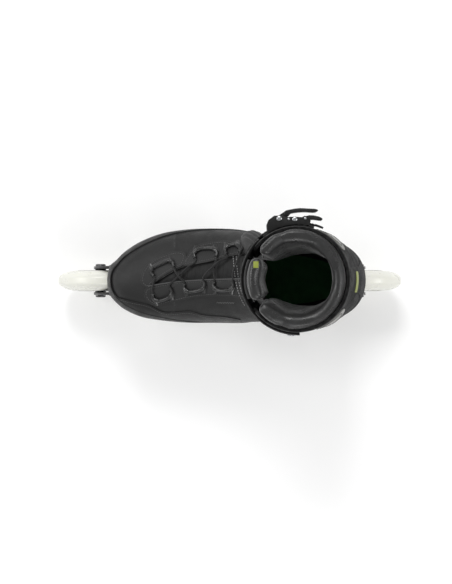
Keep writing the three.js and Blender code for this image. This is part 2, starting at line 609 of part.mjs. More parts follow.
// The pins stand upright, across the strap. Places are [x, y] seen from above.
const LEVER_PIN = [-52.4, -64.9];
const RELEASE_PIN = [-80, -65.2];
const CHEEK_LOW = ladderLow - 1 - BUCKLE_CHEEK;
const CHEEK_TOP = ladderTop + 1 + BUCKLE_CHEEK;
const pinHole = ([x, y], low, high) => turnedZ(rod(BUCKLE_PIN_R + RUN, low, high), 12, x, y);

function makeBuckleBase() {
  const plateZone = outline([[-37, -20], [-37, -90], [-90, -90], [-90, -20]]);
  let base = ring(STRAP_IN, STRAP_OUT).intersect(slab(plateZone, CHEEK_LOW, CHEEK_TOP));
  const cheek = outline([
    [-37, -46], [-41, -63.5], [-47, -68], [-56, -68], [-60, -66.4], [-77, -66.4], [-79, -67.8], [-83, -67.6],
    [-86, -62], [-84, -46],
  ]);
  const hollow = form(STRAP_IN);
  for (const low of [CHEEK_LOW, CHEEK_TOP - BUCKLE_CHEEK]) {
    base = base.add(slab(cheek, low, low + BUCKLE_CHEEK).subtract(hollow));
  }
  for (const pin of [LEVER_PIN, RELEASE_PIN]) {
    base = base.subtract(pinHole(pin, CHEEK_LOW - 5, CHEEK_TOP + 5));
  }
  return base;
}
addTo(boot, "buckle_base", makeBuckleBase(), "plastic");

for (const [name, [x, y], r] of [
  ["lever_pin", LEVER_PIN, BUCKLE_RIVET_R], ["release_pin", RELEASE_PIN, BUCKLE_RIVET_R - 0.9],
]) {
  const low = CHEEK_LOW - GAP;
  const high = CHEEK_TOP + GAP;
  const profile = [
    [0, low - BUCKLE_RIVET], [r - 0.4, low - BUCKLE_RIVET], [r, low], [BUCKLE_PIN_R, low],
    [BUCKLE_PIN_R, high], [r, high], [r - 0.4, high + BUCKLE_RIVET], [0, high + BUCKLE_RIVET],
  ];
  addTo(boot, name, turnedZ(profile, 12, x, y), "steel");
}

// The lever is a broad handle with two arms inside the cheeks, round at its pin.
const ARM_LOW = CHEEK_LOW + BUCKLE_CHEEK + GAP;
const ARM_TOP = CHEEK_TOP - BUCKLE_CHEEK - GAP;
const ARM_THICKNESS = 3;
const EYE_R = 2.9;
const eye = ([x, y], low, high) => turnedZ(rod(EYE_R, low, high), 14, x, y);
function makeLever() {
  const handle = outline([
    [-58, -72.6], [-66, -75], [-74, -76], [-92, -75], [-94, -73.4], [-91, -71.6], [-74, -72], [-66, -70.8],
    [-58, -68.4],
  ]);
  const arm = outline([[-51, -67.6], [-52.4, -62.2], [-58, -65.5], [-64, -69.4], [-64, -74], [-58, -72.2]]);
  let lever = slab(handle, CHEEK_LOW, CHEEK_TOP);
  for (const low of [ARM_LOW, ARM_TOP - ARM_THICKNESS]) {
    lever = lever.add(slab(arm, low, low + ARM_THICKNESS)).add(eye(LEVER_PIN, low, low + ARM_THICKNESS));
  }
  return lever.subtract(pinHole(LEVER_PIN, CHEEK_LOW - 5, CHEEK_TOP + 5));
}
addTo(boot, "buckle_lever", makeLever(), "plastic");

function makeRelease() {
  const tab = outline([
    [-79, -62.5], [-86, -64], [-93, -63.6], [-98, -63.2], [-98.5, -64.8], [-94, -67.6], [-82, -68.2],
  ]);
  const solid = slab(tab, ARM_LOW, ARM_TOP).add(eye(RELEASE_PIN, ARM_LOW, ARM_TOP));
  return solid.subtract(pinHole(RELEASE_PIN, CHEEK_LOW - 5, CHEEK_TOP + 5));
}
addTo(boot, "release_lever", makeRelease(), "plastic");

// The strap's inner end is held to the cuff by a screw with a flat head.
function makeStrapScrew() {
  const wall = sideAt(SCREW.x, SCREW.z, 1);
  const head = wall + STRAP_OUT + 1;
  const tip = wall + CUFF_CLEARANCE;
  const profile = [
    [0, tip], [SCREW.r, tip], [SCREW.r, head], [SCREW.head, head], [SCREW.head - 0.6, head + 1.5],
    [0, head + 1.5],
  ];
  return turnedY(profile, 10, SCREW.x, SCREW.z);
}
addTo(boot, "strap_screw", makeStrapScrew(), "steel");

// A padded strap end lies on the outer shoulder of the instep.
const instepZone = outline([[-18, -46], [-20, -62], [-31, -66], [-46, -60], [-45, -49], [-32, -46]]);
const instep = ring(GAP + 0.1, GAP + INSTEP_STRAP + 2).intersect(slab(instepZone, 58, 104));
addTo(boot, "instep_strap", instep, "lining");

// ---------------------------------------------------------------- lace guides and lace
// Each guide is a staple on the edge of the throat: its bar runs from a to b, seen from above.
const BAR_HEIGHT = 6; // from the upper to the middle of a bar
const LACE_HEIGHT = 2.1; // from the upper to the middle of the lace
const GUIDES = {
  outer_1: { a: [88, -11.5], b: [66, -21] },
  outer_2: { a: [38, -31], b: [15, -32.5] },
  outer_3: { a: [3, -34.5], b: [-11, -36.5] },
  inner_1: { a: [84, 21.5], b: [65, 15.5] },
  inner_2: { a: [49, 11], b: [28, 8] },
  inner_3: { a: [16, 8.5], b: [-4, 9] },
};

function guideFrame({ a, b }, side) {
  const along = new THREE.Vector2(b[0] - a[0], b[1] - a[1]).normalize();
  const out = new THREE.Vector2(-along.y, along.x);
  if (out.y * side < 0) out.negate();
  return (start, forward, outward, lift) => {
    const x = start[0] + along.x * forward + out.x * outward;
    const y = start[1] + along.y * forward + out.y * outward;
    return offUpper(x, y, lift);
  };
}

function makeGuide(guide, side) {
  const at = guideFrame(guide, side);
  const { a, b } = guide;
  const spread = 2.5;
  return tube(
    [
      at(a, -spread, 9, LOOP_R + GAP), at(a, -spread / 2, 5, LOOP_R + 1.6), at(a, 0, 0, BAR_HEIGHT),
      at(b, 0, 0, BAR_HEIGHT), at(b, spread / 2, 5, LOOP_R + 1.6), at(b, spread, 9, LOOP_R + GAP),
    ],
    LOOP_R, 12,
  );
}
for (const [name, guide] of Object.entries(GUIDES)) {
  addTo(boot, `lace_guide_${name}`, makeGuide(guide, name.startsWith("outer") ? -1 : 1), "plastic");
}

// The lace's pass under one guide's bar, from the throat, along behind the bar and back to the throat.
function lacePass(name, reversed) {
  const guide = GUIDES[name];
  const at = guideFrame(guide, name.startsWith("outer") ? -1 : 1);
  const inset = 5;
  const points = [
    at(guide.a, inset - 1, -4, LACE_HEIGHT), at(guide.a, inset, 2.4, LACE_HEIGHT),
    at(guide.b, -inset, 2.4, LACE_HEIGHT), at(guide.b, 1 - inset, -4, LACE_HEIGHT),
  ];
  return reversed ? points.reverse() : points;
}
// A point on a free run of the lace, a share t of the way from p to q.
const runPoint = (p, q, t, lift) => offUpper(p.x + (q.x - p.x) * t, p.y + (q.y - p.y) * t, lift);

function makeLace() {
  const passes = [
    lacePass("inner_3", true), lacePass("outer_2", true), lacePass("inner_1", true),
    lacePass("outer_1", false), lacePass("inner_2", false), lacePass("outer_3", false),
  ];
  const overLift = [0, 0, 0, 2 * LACE_R + 0.7, 2 * LACE_R + 0.7];
  const route = [];
  passes.forEach((points, i) => {
    route.push(...points);
    const next = passes[i + 1];
    if (!next) return;
    for (const t of [0.25, 0.5, 0.75]) {
      route.push(runPoint(points.at(-1), next[0], t, LACE_HEIGHT + 0.6 + overLift[i]));
    }
  });
  return tube(route, LACE_R, 78);
}
addTo(boot, "lace", makeLace(), "lace");

// The footprint, with its buckle, is wider on the outer side: this centres it on y = 0.
const skate = new THREE.Group();
skate.add(chassis, boot);
skate.position.y = FOOTPRINT_SHIFT;

export default skate;
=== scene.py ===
import math

import bmesh
import bpy
import numpy as np
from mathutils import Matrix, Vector
from mathutils.bvhtree import BVHTree


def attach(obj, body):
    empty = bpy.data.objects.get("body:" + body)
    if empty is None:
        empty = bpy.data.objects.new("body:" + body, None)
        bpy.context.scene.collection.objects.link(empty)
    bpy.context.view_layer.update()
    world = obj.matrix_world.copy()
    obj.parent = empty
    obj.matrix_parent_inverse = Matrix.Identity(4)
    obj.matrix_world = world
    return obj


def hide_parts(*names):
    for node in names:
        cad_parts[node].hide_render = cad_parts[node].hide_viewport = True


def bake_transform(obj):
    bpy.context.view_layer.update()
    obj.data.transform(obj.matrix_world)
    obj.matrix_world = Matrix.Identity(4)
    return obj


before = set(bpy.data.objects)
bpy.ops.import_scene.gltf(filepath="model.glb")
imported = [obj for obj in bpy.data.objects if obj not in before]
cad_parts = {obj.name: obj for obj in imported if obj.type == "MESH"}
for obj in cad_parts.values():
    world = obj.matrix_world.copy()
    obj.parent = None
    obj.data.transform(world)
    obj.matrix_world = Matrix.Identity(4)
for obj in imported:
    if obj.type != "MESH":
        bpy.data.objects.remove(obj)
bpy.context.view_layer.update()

# ------------------------------------------------------------------ camera
# Straight down, with the toe to the left and the outer side at the top of the picture.
camera_data = bpy.data.cameras.new("camera")
camera_data.sensor_width = 36
camera_data.lens = 135.2
camera = bpy.data.objects.new("camera", camera_data)
camera.location = (0.0044, 0.02125, 2.65)
camera.rotation_euler = (0, 0, math.pi)
bpy.context.scene.collection.objects.link(camera)
bpy.context.scene.camera = camera

# ------------------------------------------------------------------ sizes, in mm, as in the CAD part
MM = 0.001
SHIFT_Y = 7.8
SOLE_Z = 112
AXLE_Z = 50
AXLES = [153, 51, -51, -153]
PIVOT = (-72, 93)
UPPER_Z = 8.3
HEEL_RISE = 10
SIDES = {"outer": -1, "inner": 1}


def on_wheels(points):
    """Points drawn from the ground up, about the wheel line, in the row frame in metres."""
    return (np.asarray(points, float) + [0, SHIFT_Y, 0]) * MM


def on_boot(points):
    """Points drawn from the underside of the sole up, in the row frame in metres."""
    return (np.asarray(points, float) + [0, SHIFT_Y, SOLE_Z]) * MM


# ------------------------------------------------------------------ materials
def feed(tree, made, values):
    """Sets a node's inputs, by name or number: each to a value, or linked to another node's output."""
    for key, value in values.items():
        if isinstance(value, bpy.types.NodeSocket):
            tree.links.new(value, made.inputs[key])
        else:
            made.inputs[key].default_value = value


def node(tree, kind, **values):
    """A new node, with its properties and inputs."""
    made = tree.nodes.new(kind)
    for key, value in values.items():
        if key in made.inputs:
            feed(tree, made, {key: value})
        else:
            setattr(made, key, value)
    return made


def math_of(tree, operation, a, b):
    made = node(tree, "ShaderNodeMath", operation=operation)
    feed(tree, made, {0: a, 1: b})
    return made.outputs[0]


def ranged(tree, value, a, b, c, d):
    values = {"Value": value, "From Min": a, "From Max": b, "To Min": c, "To Max": d}
    return node(tree, "ShaderNodeMapRange", **values).outputs["Result"]


def mixed(tree, factor, a, b):
    made = node(tree, "ShaderNodeMix", data_type="RGBA")
    feed(tree, made, {"Factor": factor, 6: a, 7: b})
    return made.outputs[2]


def grey(v):
    """An sRGB grey or colour, 0 to 255, as a linear colour."""
    rgb = (v, v, v) if np.isscalar(v) else v
    return tuple(((c / 255 + 0.055) / 1.055) ** 2.4 if c > 10 else c / 255 / 12.92 for c in rgb) + (1,)


def waves(tree, coords, turns, **values):
    """Two sets of parallel lines, each turned its own way."""
    out = []
    for turn in turns:
        mapping = node(tree, "ShaderNodeMapping", Rotation=turn, Vector=coords)
        out.append(node(tree, "ShaderNodeTexWave", Vector=mapping.outputs[0], **values).outputs["Fac"])
    return out


def height_of(tree, coords, pattern, size):
    """A height from 0 to 1 for a surface pattern with features of that size in mm."""
    scale = 1 / (size * MM)
    if pattern == "leather":
        cells = node(tree, "ShaderNodeTexVoronoi", feature="DISTANCE_TO_EDGE", Scale=scale, Randomness=0.9,
                     Vector=coords)
        fine = node(tree, "ShaderNodeTexNoise", Scale=scale * 2.5, Detail=3, Vector=coords)
        edge = math_of(tree, "MINIMUM", math_of(tree, "MULTIPLY", cells.outputs["Distance"], 4.0), 1.0)
        return math_of(tree, "ADD", math_of(tree, "MULTIPLY", edge, 0.75),
                       math_of(tree, "MULTIPLY", fine.outputs[0], 0.25))
    if pattern in ("weave", "twill"):
        lines = waves(tree, coords, ((0.6, 0.35, 0.8), (0.6, 0.35, 2.37)), Scale=scale / 2, Distortion=0.4,
                      **{"Detail Scale": 3})
        return math_of(tree, "MAXIMUM" if pattern == "weave" else "MULTIPLY", *lines)
    if pattern == "mesh":
        cells = node(tree, "ShaderNodeTexVoronoi", feature="F1", Scale=scale, Randomness=0.25, Vector=coords)
        return math_of(tree, "MINIMUM", math_of(tree, "MULTIPLY", cells.outputs["Distance"], 1.6), 1.0)
    if pattern == "brushed":
        mapping = node(tree, "ShaderNodeMapping", Scale=(0.04, 1, 1), Vector=coords)
        return node(tree, "ShaderNodeTexNoise", Scale=scale, Detail=6, Vector=mapping.outputs[0]).outputs[0]
    if pattern == "braid":
        places = node(tree, "ShaderNodeUVMap", uv_map="UVMap").outputs[0]
        return math_of(tree, "MAXIMUM", *waves(tree, places, ((0, 0, 0.9), (0, 0, -0.9)), Scale=0.42 / size))
    return node(tree, "ShaderNodeTexNoise", Scale=scale, Detail=5, Roughness=0.6, Vector=coords).outputs[0]


def material(name, slot, colour, rough, pattern, size, depth, tone=0.14, edge_wear_and_highlight=None, metal=0.0, pores=0.25,
             sheen=0.0, glow=0.0, gloss_level=0.5):
    """A finish: a surface pattern in bump and tone, slow colour change, lighter sharp edges that are worn
    edges and a painted highlight along them, and uneven gloss.
    """
    made = bpy.data.materials.new(name)
    made.use_nodes = True
    tree = made.node_tree
    shader = tree.nodes["Principled BSDF"]
    coords = node(tree, "ShaderNodeTexCoord").outputs["Object"]
    height = height_of(tree, coords, pattern, size)
    base = grey(colour)[:3]
    shaded = lambda share: tuple(min(1, c * share) for c in base) + (1,)
    slow = node(tree, "ShaderNodeTexNoise", Scale=38.0, Detail=6, Roughness=0.62, Vector=coords)
    spread = ranged(tree, slow.outputs[0], 0.3, 0.7, 0.0, 1.0)
    colours = mixed(tree, spread, shaded(1 - tone), shaded(1 + tone))
    colours = mixed(tree, ranged(tree, height, 0.0, 0.6, 1.0, 0.0), colours, shaded(1 - pores))
    # Lighter on sharp edges in noisy patches: worn edges, and also a painted highlight along the edges.
    if edge_wear_and_highlight:
        geometry = node(tree, "ShaderNodeNewGeometry")
        rubbed = node(tree, "ShaderNodeTexNoise", Scale=260.0, Detail=4, Vector=coords)
        edge = ranged(tree, geometry.outputs["Pointiness"], 0.52, 0.62, 0.0, 1.0)
        wear_and_highlight_mask = math_of(tree, "MULTIPLY", edge, ranged(tree, rubbed.outputs[0], 0.42, 0.62, 0.0, 0.8))
        colours = mixed(tree, wear_and_highlight_mask, colours, grey(edge_wear_and_highlight))
    smears = node(tree, "ShaderNodeTexNoise", Scale=95.0, Detail=5, Vector=coords)
    gloss = ranged(tree, smears.outputs[0], 0.3, 0.7, max(0.05, rough - 0.08), min(1.0, rough + 0.1))
    bump = node(tree, "ShaderNodeBump", Strength=0.9, Distance=depth * MM, Height=height)
    feed(tree, shader, {"Base Color": colours, "Roughness": gloss, "Normal": bump.outputs[0],
                        "Metallic": metal, "Specular IOR Level": gloss_level})
    if sheen:
        feed(tree, shader, {"Sheen Weight": sheen, "Sheen Roughness": 0.4})
    if glow:
        feed(tree, shader, {"Subsurface Weight": glow, "Subsurface Radius": (0.004, 0.004, 0.003)})
    made["slot"] = slot
    return made


# The edge colours given below lighten sharp edges: worn edges, with a painted highlight along them as well.
URETHANE = material("urethane", "urethane", (222, 222, 213), 0.3, "fine", 1.6, 0.02, 0.03, glow=0.1,
                    pores=0.02)
CORE = material("wheel_core", "wheel_core", 34, 0.42, "fine", 0.7, 0.03, edge_wear_and_highlight=110)
STEEL = material("steel", "steel", (188, 190, 192), 0.24, "brushed", 0.5, 0.01, 0.08, metal=1.0, pores=0.1)
DARK_STEEL = material("dark_steel", "steel", 70, 0.35, "fine", 0.6, 0.01, 0.1, metal=0.9, edge_wear_and_highlight=150)
ANODISED = material("anodised_frame", "frame_metal", 30, 0.34, "fine", 0.35, 0.012, 0.1, metal=0.75, edge_wear_and_highlight=58)
PLASTIC = material("black_plastic", "black_plastic", 17, 0.6, "leather", 0.5, 0.04, 0.16, edge_wear_and_highlight=74,
                   gloss_level=0.06)
SOLE = material("sole_plastic", "black_plastic", 22, 0.55, "leather", 1.4, 0.06, 0.15, edge_wear_and_highlight=80)
GUIDE = material("guide_plastic", "black_plastic", 30, 0.3, "fine", 0.5, 0.02, 0.16, edge_wear_and_highlight=96)
RAND = material("rand_plastic", "black_plastic", 32, 0.5, "leather", 0.7, 0.05, 0.16, edge_wear_and_highlight=84,
                gloss_level=0.3)
BUCKLE = material("buckle_plastic", "black_plastic", 13, 0.36, "fine", 0.5, 0.02, 0.14, edge_wear_and_highlight=70,
                  gloss_level=0.35)
UPPER = material("upper_leather", "upper", 27, 0.46, "leather", 0.7, 0.07, 0.2, edge_wear_and_highlight=70, gloss_level=0.35)
WOVEN = material("upper_weave", "upper", 32, 0.58, "weave", 1.3, 0.16, 0.2, pores=0.45, gloss_level=0.3)
FLAP = material("flap_leather", "upper", 42, 0.5, "twill", 1.5, 0.09, 0.16, edge_wear_and_highlight=80, pores=0.4,
                gloss_level=0.3)
BUMPER = material("bumper", "upper", 19, 0.45, "leather", 0.8, 0.06, 0.14, edge_wear_and_highlight=64, gloss_level=0.3)
TONGUE = material("tongue_fabric", "lining", 30, 0.85, "weave", 1.1, 0.12, 0.16, sheen=0.1)
LINING = material("lining_fabric", "lining", 24, 0.8, "mesh", 1.5, 0.15, 0.16, sheen=0.2)
SATIN = material("collar_fabric", "lining", 31, 0.3, "twill", 0.7, 0.04, 0.16, sheen=0.25)
WEBBING = material("webbing", "lining", 70, 0.75, "weave", 0.9, 0.12, 0.12, sheen=0.15)
STRAP_PAD = material("strap_pad_fabric", "lining", 42, 0.7, "leather", 0.6, 0.06, 0.12, sheen=0.15)
FOOTBED = material("footbed_fabric", "footbed", (40, 96, 50), 0.9, "weave", 1.0, 0.1, 0.2, sheen=0.2)
SILVER = material("silver_trim", "silver_trim", (112, 112, 108), 0.42, "brushed", 0.6, 0.012, 0.08, metal=0.3,
                  pores=0.06)
ACCENT = material("accent_trim", "silver_trim", (124, 134, 40), 0.5, "weave", 0.7, 0.05, 0.1)
LACE = material("lace_braid", "lace", 16, 0.7, "braid", 1.0, 0.12, 0.14, sheen=0.15)
THREAD = material("thread", "lace", 96, 0.65, "brushed", 0.4, 0.03, 0.12, sheen=0.1)
LIGHT_THREAD = material("light_thread", "lace", 158, 0.6, "brushed", 0.4, 0.03, 0.12, sheen=0.1)
DARK_THREAD = material("dark_thread", "lace", 74, 0.65, "brushed", 0.4, 0.03, 0.12, sheen=0.1)


# ------------------------------------------------------------------ meshes
def show(name, mesh):
    """A new object in the scene."""
    made = bpy.data.objects.new(name, mesh)
    bpy.context.scene.collection.objects.link(made)
    return made


def subdivided(made, levels):
    smooth = made.modifiers.new("smooth", "SUBSURF")
    smooth.levels = smooth.render_levels = levels


def piece(name, shape, finish, body="boot", replaces=(), bevel=0.0, sharp=40, uv=None, levels=0,
          place=on_boot):
    """One object from points and faces in mm. Doubled points are joined and the faces turned outwards."""
    vertices, faces = shape
    mesh = bpy.data.meshes.new(name)
    mesh.from_pydata([tuple(v) for v in place(vertices)], [], [tuple(map(int, f)) for f in faces])
    if uv is not None:
        layer = mesh.uv_layers.new(name="UVMap")
        loops = np.zeros(len(mesh.loops), int)
        mesh.loops.foreach_get("vertex_index", loops)
        layer.data.foreach_set("uv", np.asarray(uv, float)[loops].ravel())
    edit = bmesh.new()
    edit.from_mesh(mesh)
    bmesh.ops.remove_doubles(edit, verts=edit.verts, dist=2e-6)
    bmesh.ops.dissolve_degenerate(edit, edges=edit.edges, dist=1e-7)
    bmesh.ops.recalc_face_normals(edit, faces=edit.faces)
    edit.to_mesh(mesh)
    edit.free()
    mesh.polygons.foreach_set("use_smooth", [True] * len(mesh.polygons))
    if sharp:
        mesh.set_sharp_from_angle(angle=math.radians(sharp))
    made = show(name, mesh)
    mesh.materials.append(finish)
    if levels:
        subdivided(made, levels)
    if bevel:
        edges = made.modifiers.new("edges", "BEVEL")
        edges.width = bevel * MM
        edges.segments = 2
        edges.limit_method = "ANGLE"
        edges.angle_limit = math.radians(38)
        edges.harden_normals = True
    if body:
        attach(made, body)
    if replaces:
        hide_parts(*replaces)
    return made


def merged(parts):
    """Several shapes, each its points and faces, as one."""
    vertices, faces, start = [], [], 0
    for points, around in parts:
        vertices.append(np.asarray(points, float))
        faces += [[i + start for i in f] for f in around]
        start += len(points)
    return np.concatenate(vertices), faces


def rings_mesh(rings, closed=False):
    """A skin over rings of points, each the same length, with its ends filled unless it is closed."""
    count, n = len(rings), len(rings[0])
    faces = []
    for r in range(count if closed else count - 1):
        for i in range(n):
            j, s = (i + 1) % n, (r + 1) % count
            faces.append([r * n + i, r * n + j, s * n + j, s * n + i])
    if not closed:
        faces += [list(range(n))[::-1], [(count - 1) * n + i for i in range(n)]]
    return np.concatenate([np.asarray(r, float) for r in rings]), faces


def turned(profile, centre, axis="Y", segments=48, hexed=(), closed=False):
    """A turned solid from (radius, place along the axis) pairs. Points in hexed follow a hexagon."""
    angles = 2 * math.pi * np.arange(segments) / segments
    corner = math.cos(math.pi / 6) / np.cos((angles % (math.pi / 3)) - math.pi / 6)
    points, faces = [], []
    for k, (r, t) in enumerate(profile):
        radius = r * (corner if k in hexed else 1) * np.ones(segments)
        a, b = radius * np.sin(angles), radius * np.cos(angles)
        flat = np.full(segments, float(t))
        if axis == "Y":
            ring = np.stack([centre[0] + a, flat, centre[1] + b], 1)
        else:
            ring = np.stack([centre[0] + a, centre[1] + b, flat], 1)
        points.append(ring)
    count = len(profile)
    for k in range(count if closed else count - 1):
        m = (k + 1) % count
        for i in range(segments):
            j = (i + 1) % segments
            faces.append([k * segments + i, k * segments + j, m * segments + j, m * segments + i])
    return np.concatenate(points), faces


def spline(points, steps, closed=False):
    """A smooth line through the points, evenly stepped between them."""
    p = np.asarray(points, float)
    n = len(p)
    out = []
    for i in range(n if closed else n - 1):
        if closed:
            a, b, c, d = (p[(i + k) % n] for k in (-1, 0, 1, 2))
        else:
            b, c = p[i], p[i + 1]
            a = p[i - 1] if i else 2 * b - c
            d = p[i + 2] if i + 2 < n else 2 * c - b
        knots = [0.0]
        for q, r in ((a, b), (b, c), (c, d)):
            knots.append(knots[-1] + max(1e-6, np.linalg.norm(r - q)) ** 0.5)
        t0, t1, t2, t3 = knots
        for t in np.linspace(t1, t2, steps, endpoint=False):
            a1 = (t1 - t) / (t1 - t0) * a + (t - t0) / (t1 - t0) * b
            a2 = (t2 - t) / (t2 - t1) * b + (t - t1) / (t2 - t1) * c
            a3 = (t3 - t) / (t3 - t2) * c + (t - t2) / (t3 - t2) * d
            b1 = (t2 - t) / (t2 - t0) * a1 + (t - t0) / (t2 - t0) * a2
            b2 = (t3 - t) / (t3 - t1) * a2 + (t - t1) / (t3 - t1) * a3
            out.append((t2 - t) / (t2 - t1) * b1 + (t - t1) / (t2 - t1) * b2)
    if not closed:
        out.append(p[-1])
    return np.array(out)


def tube(path, radius, sides=12, closed=False, flatten=1.0, up=(0, 0, 1)):
    """A round tube along a path in mm. The radius is one number or one for each point."""
    path = np.asarray(path, float)
    n = len(path)
    radius = np.broadcast_to(radius, n)
    along = np.gradient(path, axis=0)
    if closed:
        along = np.roll(path, -1, 0) - np.roll(path, 1, 0)
    along /= np.linalg.norm(along, axis=1)[:, None] + 1e-12
    side = np.cross(along, np.asarray(up, float))
    side /= np.linalg.norm(side, axis=1)[:, None] + 1e-12
    lift = np.cross(side, along)
    angles = 2 * math.pi * np.arange(sides) / sides
    across, upward = np.cos(angles), np.sin(angles)
    return rings_mesh([path[i] + radius[i] * (np.outer(across, side[i]) + flatten * np.outer(upward, lift[i]))
                       for i in range(n)], closed)


def tube_uv(path, sides):
    """Places along and round a tube in mm, for a braid."""
    steps = np.r_[0, np.cumsum(np.linalg.norm(np.diff(path, axis=0), axis=1))]
    around = np.abs(np.arange(sides) - sides / 2) * 2 * math.pi * 1.1 / sides
    return np.array([[s, a] for s in steps for a in around])


def slab(outline, low, high, bevel, holes=(), plane="XY"):
    """A flat plate with rounded edges from a closed outline, from low to high in z, or in y for plane XZ."""
    curve = bpy.data.curves.new("outline", "CURVE")
    curve.dimensions = "2D"
    curve.fill_mode = "BOTH"
    curve.extrude = (high - low) / 2 - bevel
    curve.bevel_depth = bevel
    curve.bevel_resolution = 2
    curve.offset = -bevel
    for ring in [outline, *holes]:
        line = curve.splines.new("POLY")
        line.points.add(len(ring) - 1)
        ring = np.asarray(ring, float)
        line.points.foreach_set("co", np.c_[ring, np.zeros(len(ring)), np.ones(len(ring))].ravel())
        line.use_cyclic_u = True
    holder = show("outline", curve)
    bpy.context.view_layer.update()
    mesh = bpy.data.meshes.new_from_object(holder.evaluated_get(bpy.context.evaluated_depsgraph_get()))
    points = np.array([v.co for v in mesh.vertices]).reshape(-1, 3)
    faces = [list(p.vertices) for p in mesh.polygons]
    bpy.data.objects.remove(holder)
    bpy.data.curves.remove(curve)
    bpy.data.meshes.remove(mesh)
    middle = (low + high) / 2
    if plane == "XY":
        return points + [0, 0, middle], faces
    return np.stack([points[:, 0], points[:, 2] + middle, points[:, 1]], 1), faces


def block(x0, x1, y0, y1, z0, z1):
    corners = [[x, y, z] for x in (x0, x1) for y in (y0, y1) for z in (z0, z1)]
    return corners, [[0, 1, 3, 2], [4, 6, 7, 5], [0, 4, 5, 1], [2, 3, 7, 6], [0, 2, 6, 4], [1, 5, 7, 3]]


# ------------------------------------------------------------------ the boot's form
# One row for each station, from the toe round the heel and up the leg: base x and z, crest x and z,
# outer and inner half width, height share of the widest level, roundness of the lower half. Places along
# the boot count stations: the rounded tip of the toe is -1, the row after it 0, and the last row LAST.
U = UPPER_Z
STATIONS = np.array([
    (139.3, 16, 139.3, 18.4, 2, 2, 0.5, 1),
    (138.4, 14, 138.4, 20, 8, 9, 0.5, 1),
    (136, 9.5, 135.5, 33, 15.5, 16, 0.42, 0.8),
    (129.5, U, 129, 42, 21.5, 24, 0.38, 0.7),
    (119, U, 118, 49, 32, 32.5, 0.36, 0.6),
    (101, U, 100, 54, 43.5, 40.5, 0.35, 0.55),
    (77, U, 76, 59.5, 52.3, 44.6, 0.35, 0.55),
    (48, U + 0.2, 46, 69, 56.7, 47, 0.35, 0.55),
    (14, U + 3.9, 15, 83, 57.3, 47, 0.36, 0.55),
    (-22, U + 8.4, -8, 99, 55.5, 47.5, 0.38, 0.55),
    (-62, U + 10, -20, 115, 50, 46.5, 0.42, 0.55),
    (-103, U + 10, -24, 128, 44.5, 44, 0.5, 0.6),
    (-133, U + 15, -25, 138, 41.5, 41.5, 0.55, 0.75),
    (-147.5, 48, -24.5, 147, 42, 42, 0.55, 0.9),
    (-144, 83, -26, 159, 44.5, 44.5, 0.5, 1),
    (-138, 128, -24.5, 178, 46.5, 46.5, 0.5, 1),
    (-125, 178, -21.5, 200, 48.3, 48, 0.5, 1),
    (-119, 215, -21.5, 221, 49, 48.6, 0.5, 1),
])
TIP, LAST = -1, len(STATIONS) - 2
TOE_X = 138.4
TOE_TAPER = 40
FULL = 2 * math.pi


def stations(u):
    """The station's numbers at a place between stations."""
    v = np.clip(np.asarray(u, float) + 1, 0, len(STATIONS) - 1.0001)
    i = np.floor(v).astype(int)
    t = (v - i)[..., None]
    last = len(STATIONS) - 1
    a, b, c, d = (STATIONS[np.clip(i + k, 0, last)] for k in (-1, 0, 1, 2))
    return 0.5 * (2 * b + (c - a) * t + (2 * a - 5 * b + 4 * c - d) * t**2 + (3 * b - a - 3 * c + d) * t**3)


def form(params, d):
    """Points of the form, moved outwards by d, at (station, angle) pairs; angle 0 is the sole or back."""
    u, angle = params[..., 0], params[..., 1]
    s = stations(u)
    base, crest = s[..., 0:2], s[..., 2:4]
    reach = np.linalg.norm(crest - base, axis=-1, keepdims=True)
    along = (crest - base) / reach
    d = np.broadcast_to(np.asarray(d, float), u.shape)[..., None]
    at_toe = np.clip(1 - (TOE_X - crest[..., 0:1]) / TOE_TAPER, 0, 1)
    shrink = np.maximum(-0.45 * reach, d)
    base, crest = base - along * shrink, crest + along * shrink
    c, sine = np.cos(angle), np.sin(angle)
    power = np.where(c > 0, s[..., 7], 1)
    wide = s[..., 6]
    share = np.where(c > 0, wide * (1 - np.abs(c) ** power), wide + (1 - wide) * -c)
    half = np.maximum(1, np.where(sine < 0, s[..., 4], s[..., 5]) + d[..., 0])
    closing = np.sqrt(np.clip((u + 1) / 0.35, 0.0004, 1))  # the rings close to a point at the tip of the toe
    p = base + (crest - base) * (0.5 + (share - 0.5) * closing)[..., None]
    y = np.sign(sine) * half * np.abs(sine) ** power * closing
    return np.stack([p[..., 0] + (d * at_toe)[..., 0], y, p[..., 1]], -1)


def grid(u0, u1, nu, a0, a1, na):
    us, angles = np.linspace(u0, u1, nu + 1), np.linspace(a0, a1, na + 1)
    params = np.stack(np.meshgrid(us, angles, indexing="ij"), -1).reshape(-1, 2)
    i, j = np.meshgrid(np.arange(nu), np.arange(na), indexing="ij")
    first = (i * (na + 1) + j).ravel()
    return params, np.stack([first, first + 1, first + na + 2, first + na + 1], 1)


class Skin:
    """The form at one offset, for finding points from above, from a side or outwards from the leg's axis."""

    kept = {}

    def __new__(cls, d):
        if d not in cls.kept:
            made = super().__new__(cls)
            params, quads = grid(0, LAST, 200, 0, FULL, 300)
            made.tree = BVHTree.FromPolygons(form(params, d).tolist(), quads.tolist())
            cls.kept[d] = made
        return cls.kept[d]

    def hit(self, start, way):
        place, normal = self.tree.ray_cast(Vector(start), Vector(way))[:2]
        if place is None:
            raise ValueError(f"no skin from {tuple(start)} towards {tuple(way)}")
        return np.array(place), np.array(normal)

    def above(self, x, y, lift):
        place, normal = self.hit((x, y, 500), (0, 0, -1))
        return place + normal * lift * np.sign(normal[2])

    def beside(self, x, z, side):
        return abs(self.hit((x, side * 200, z), (0, -side, 0))[0][1])

    def around(self, turn, z):
        """The point at a turn about the leg's axis, where 0 is the shin and the outer side is negative."""
        return self.hit((PIVOT[0], 0, z), (math.cos(turn), math.sin(turn), 0))[0]


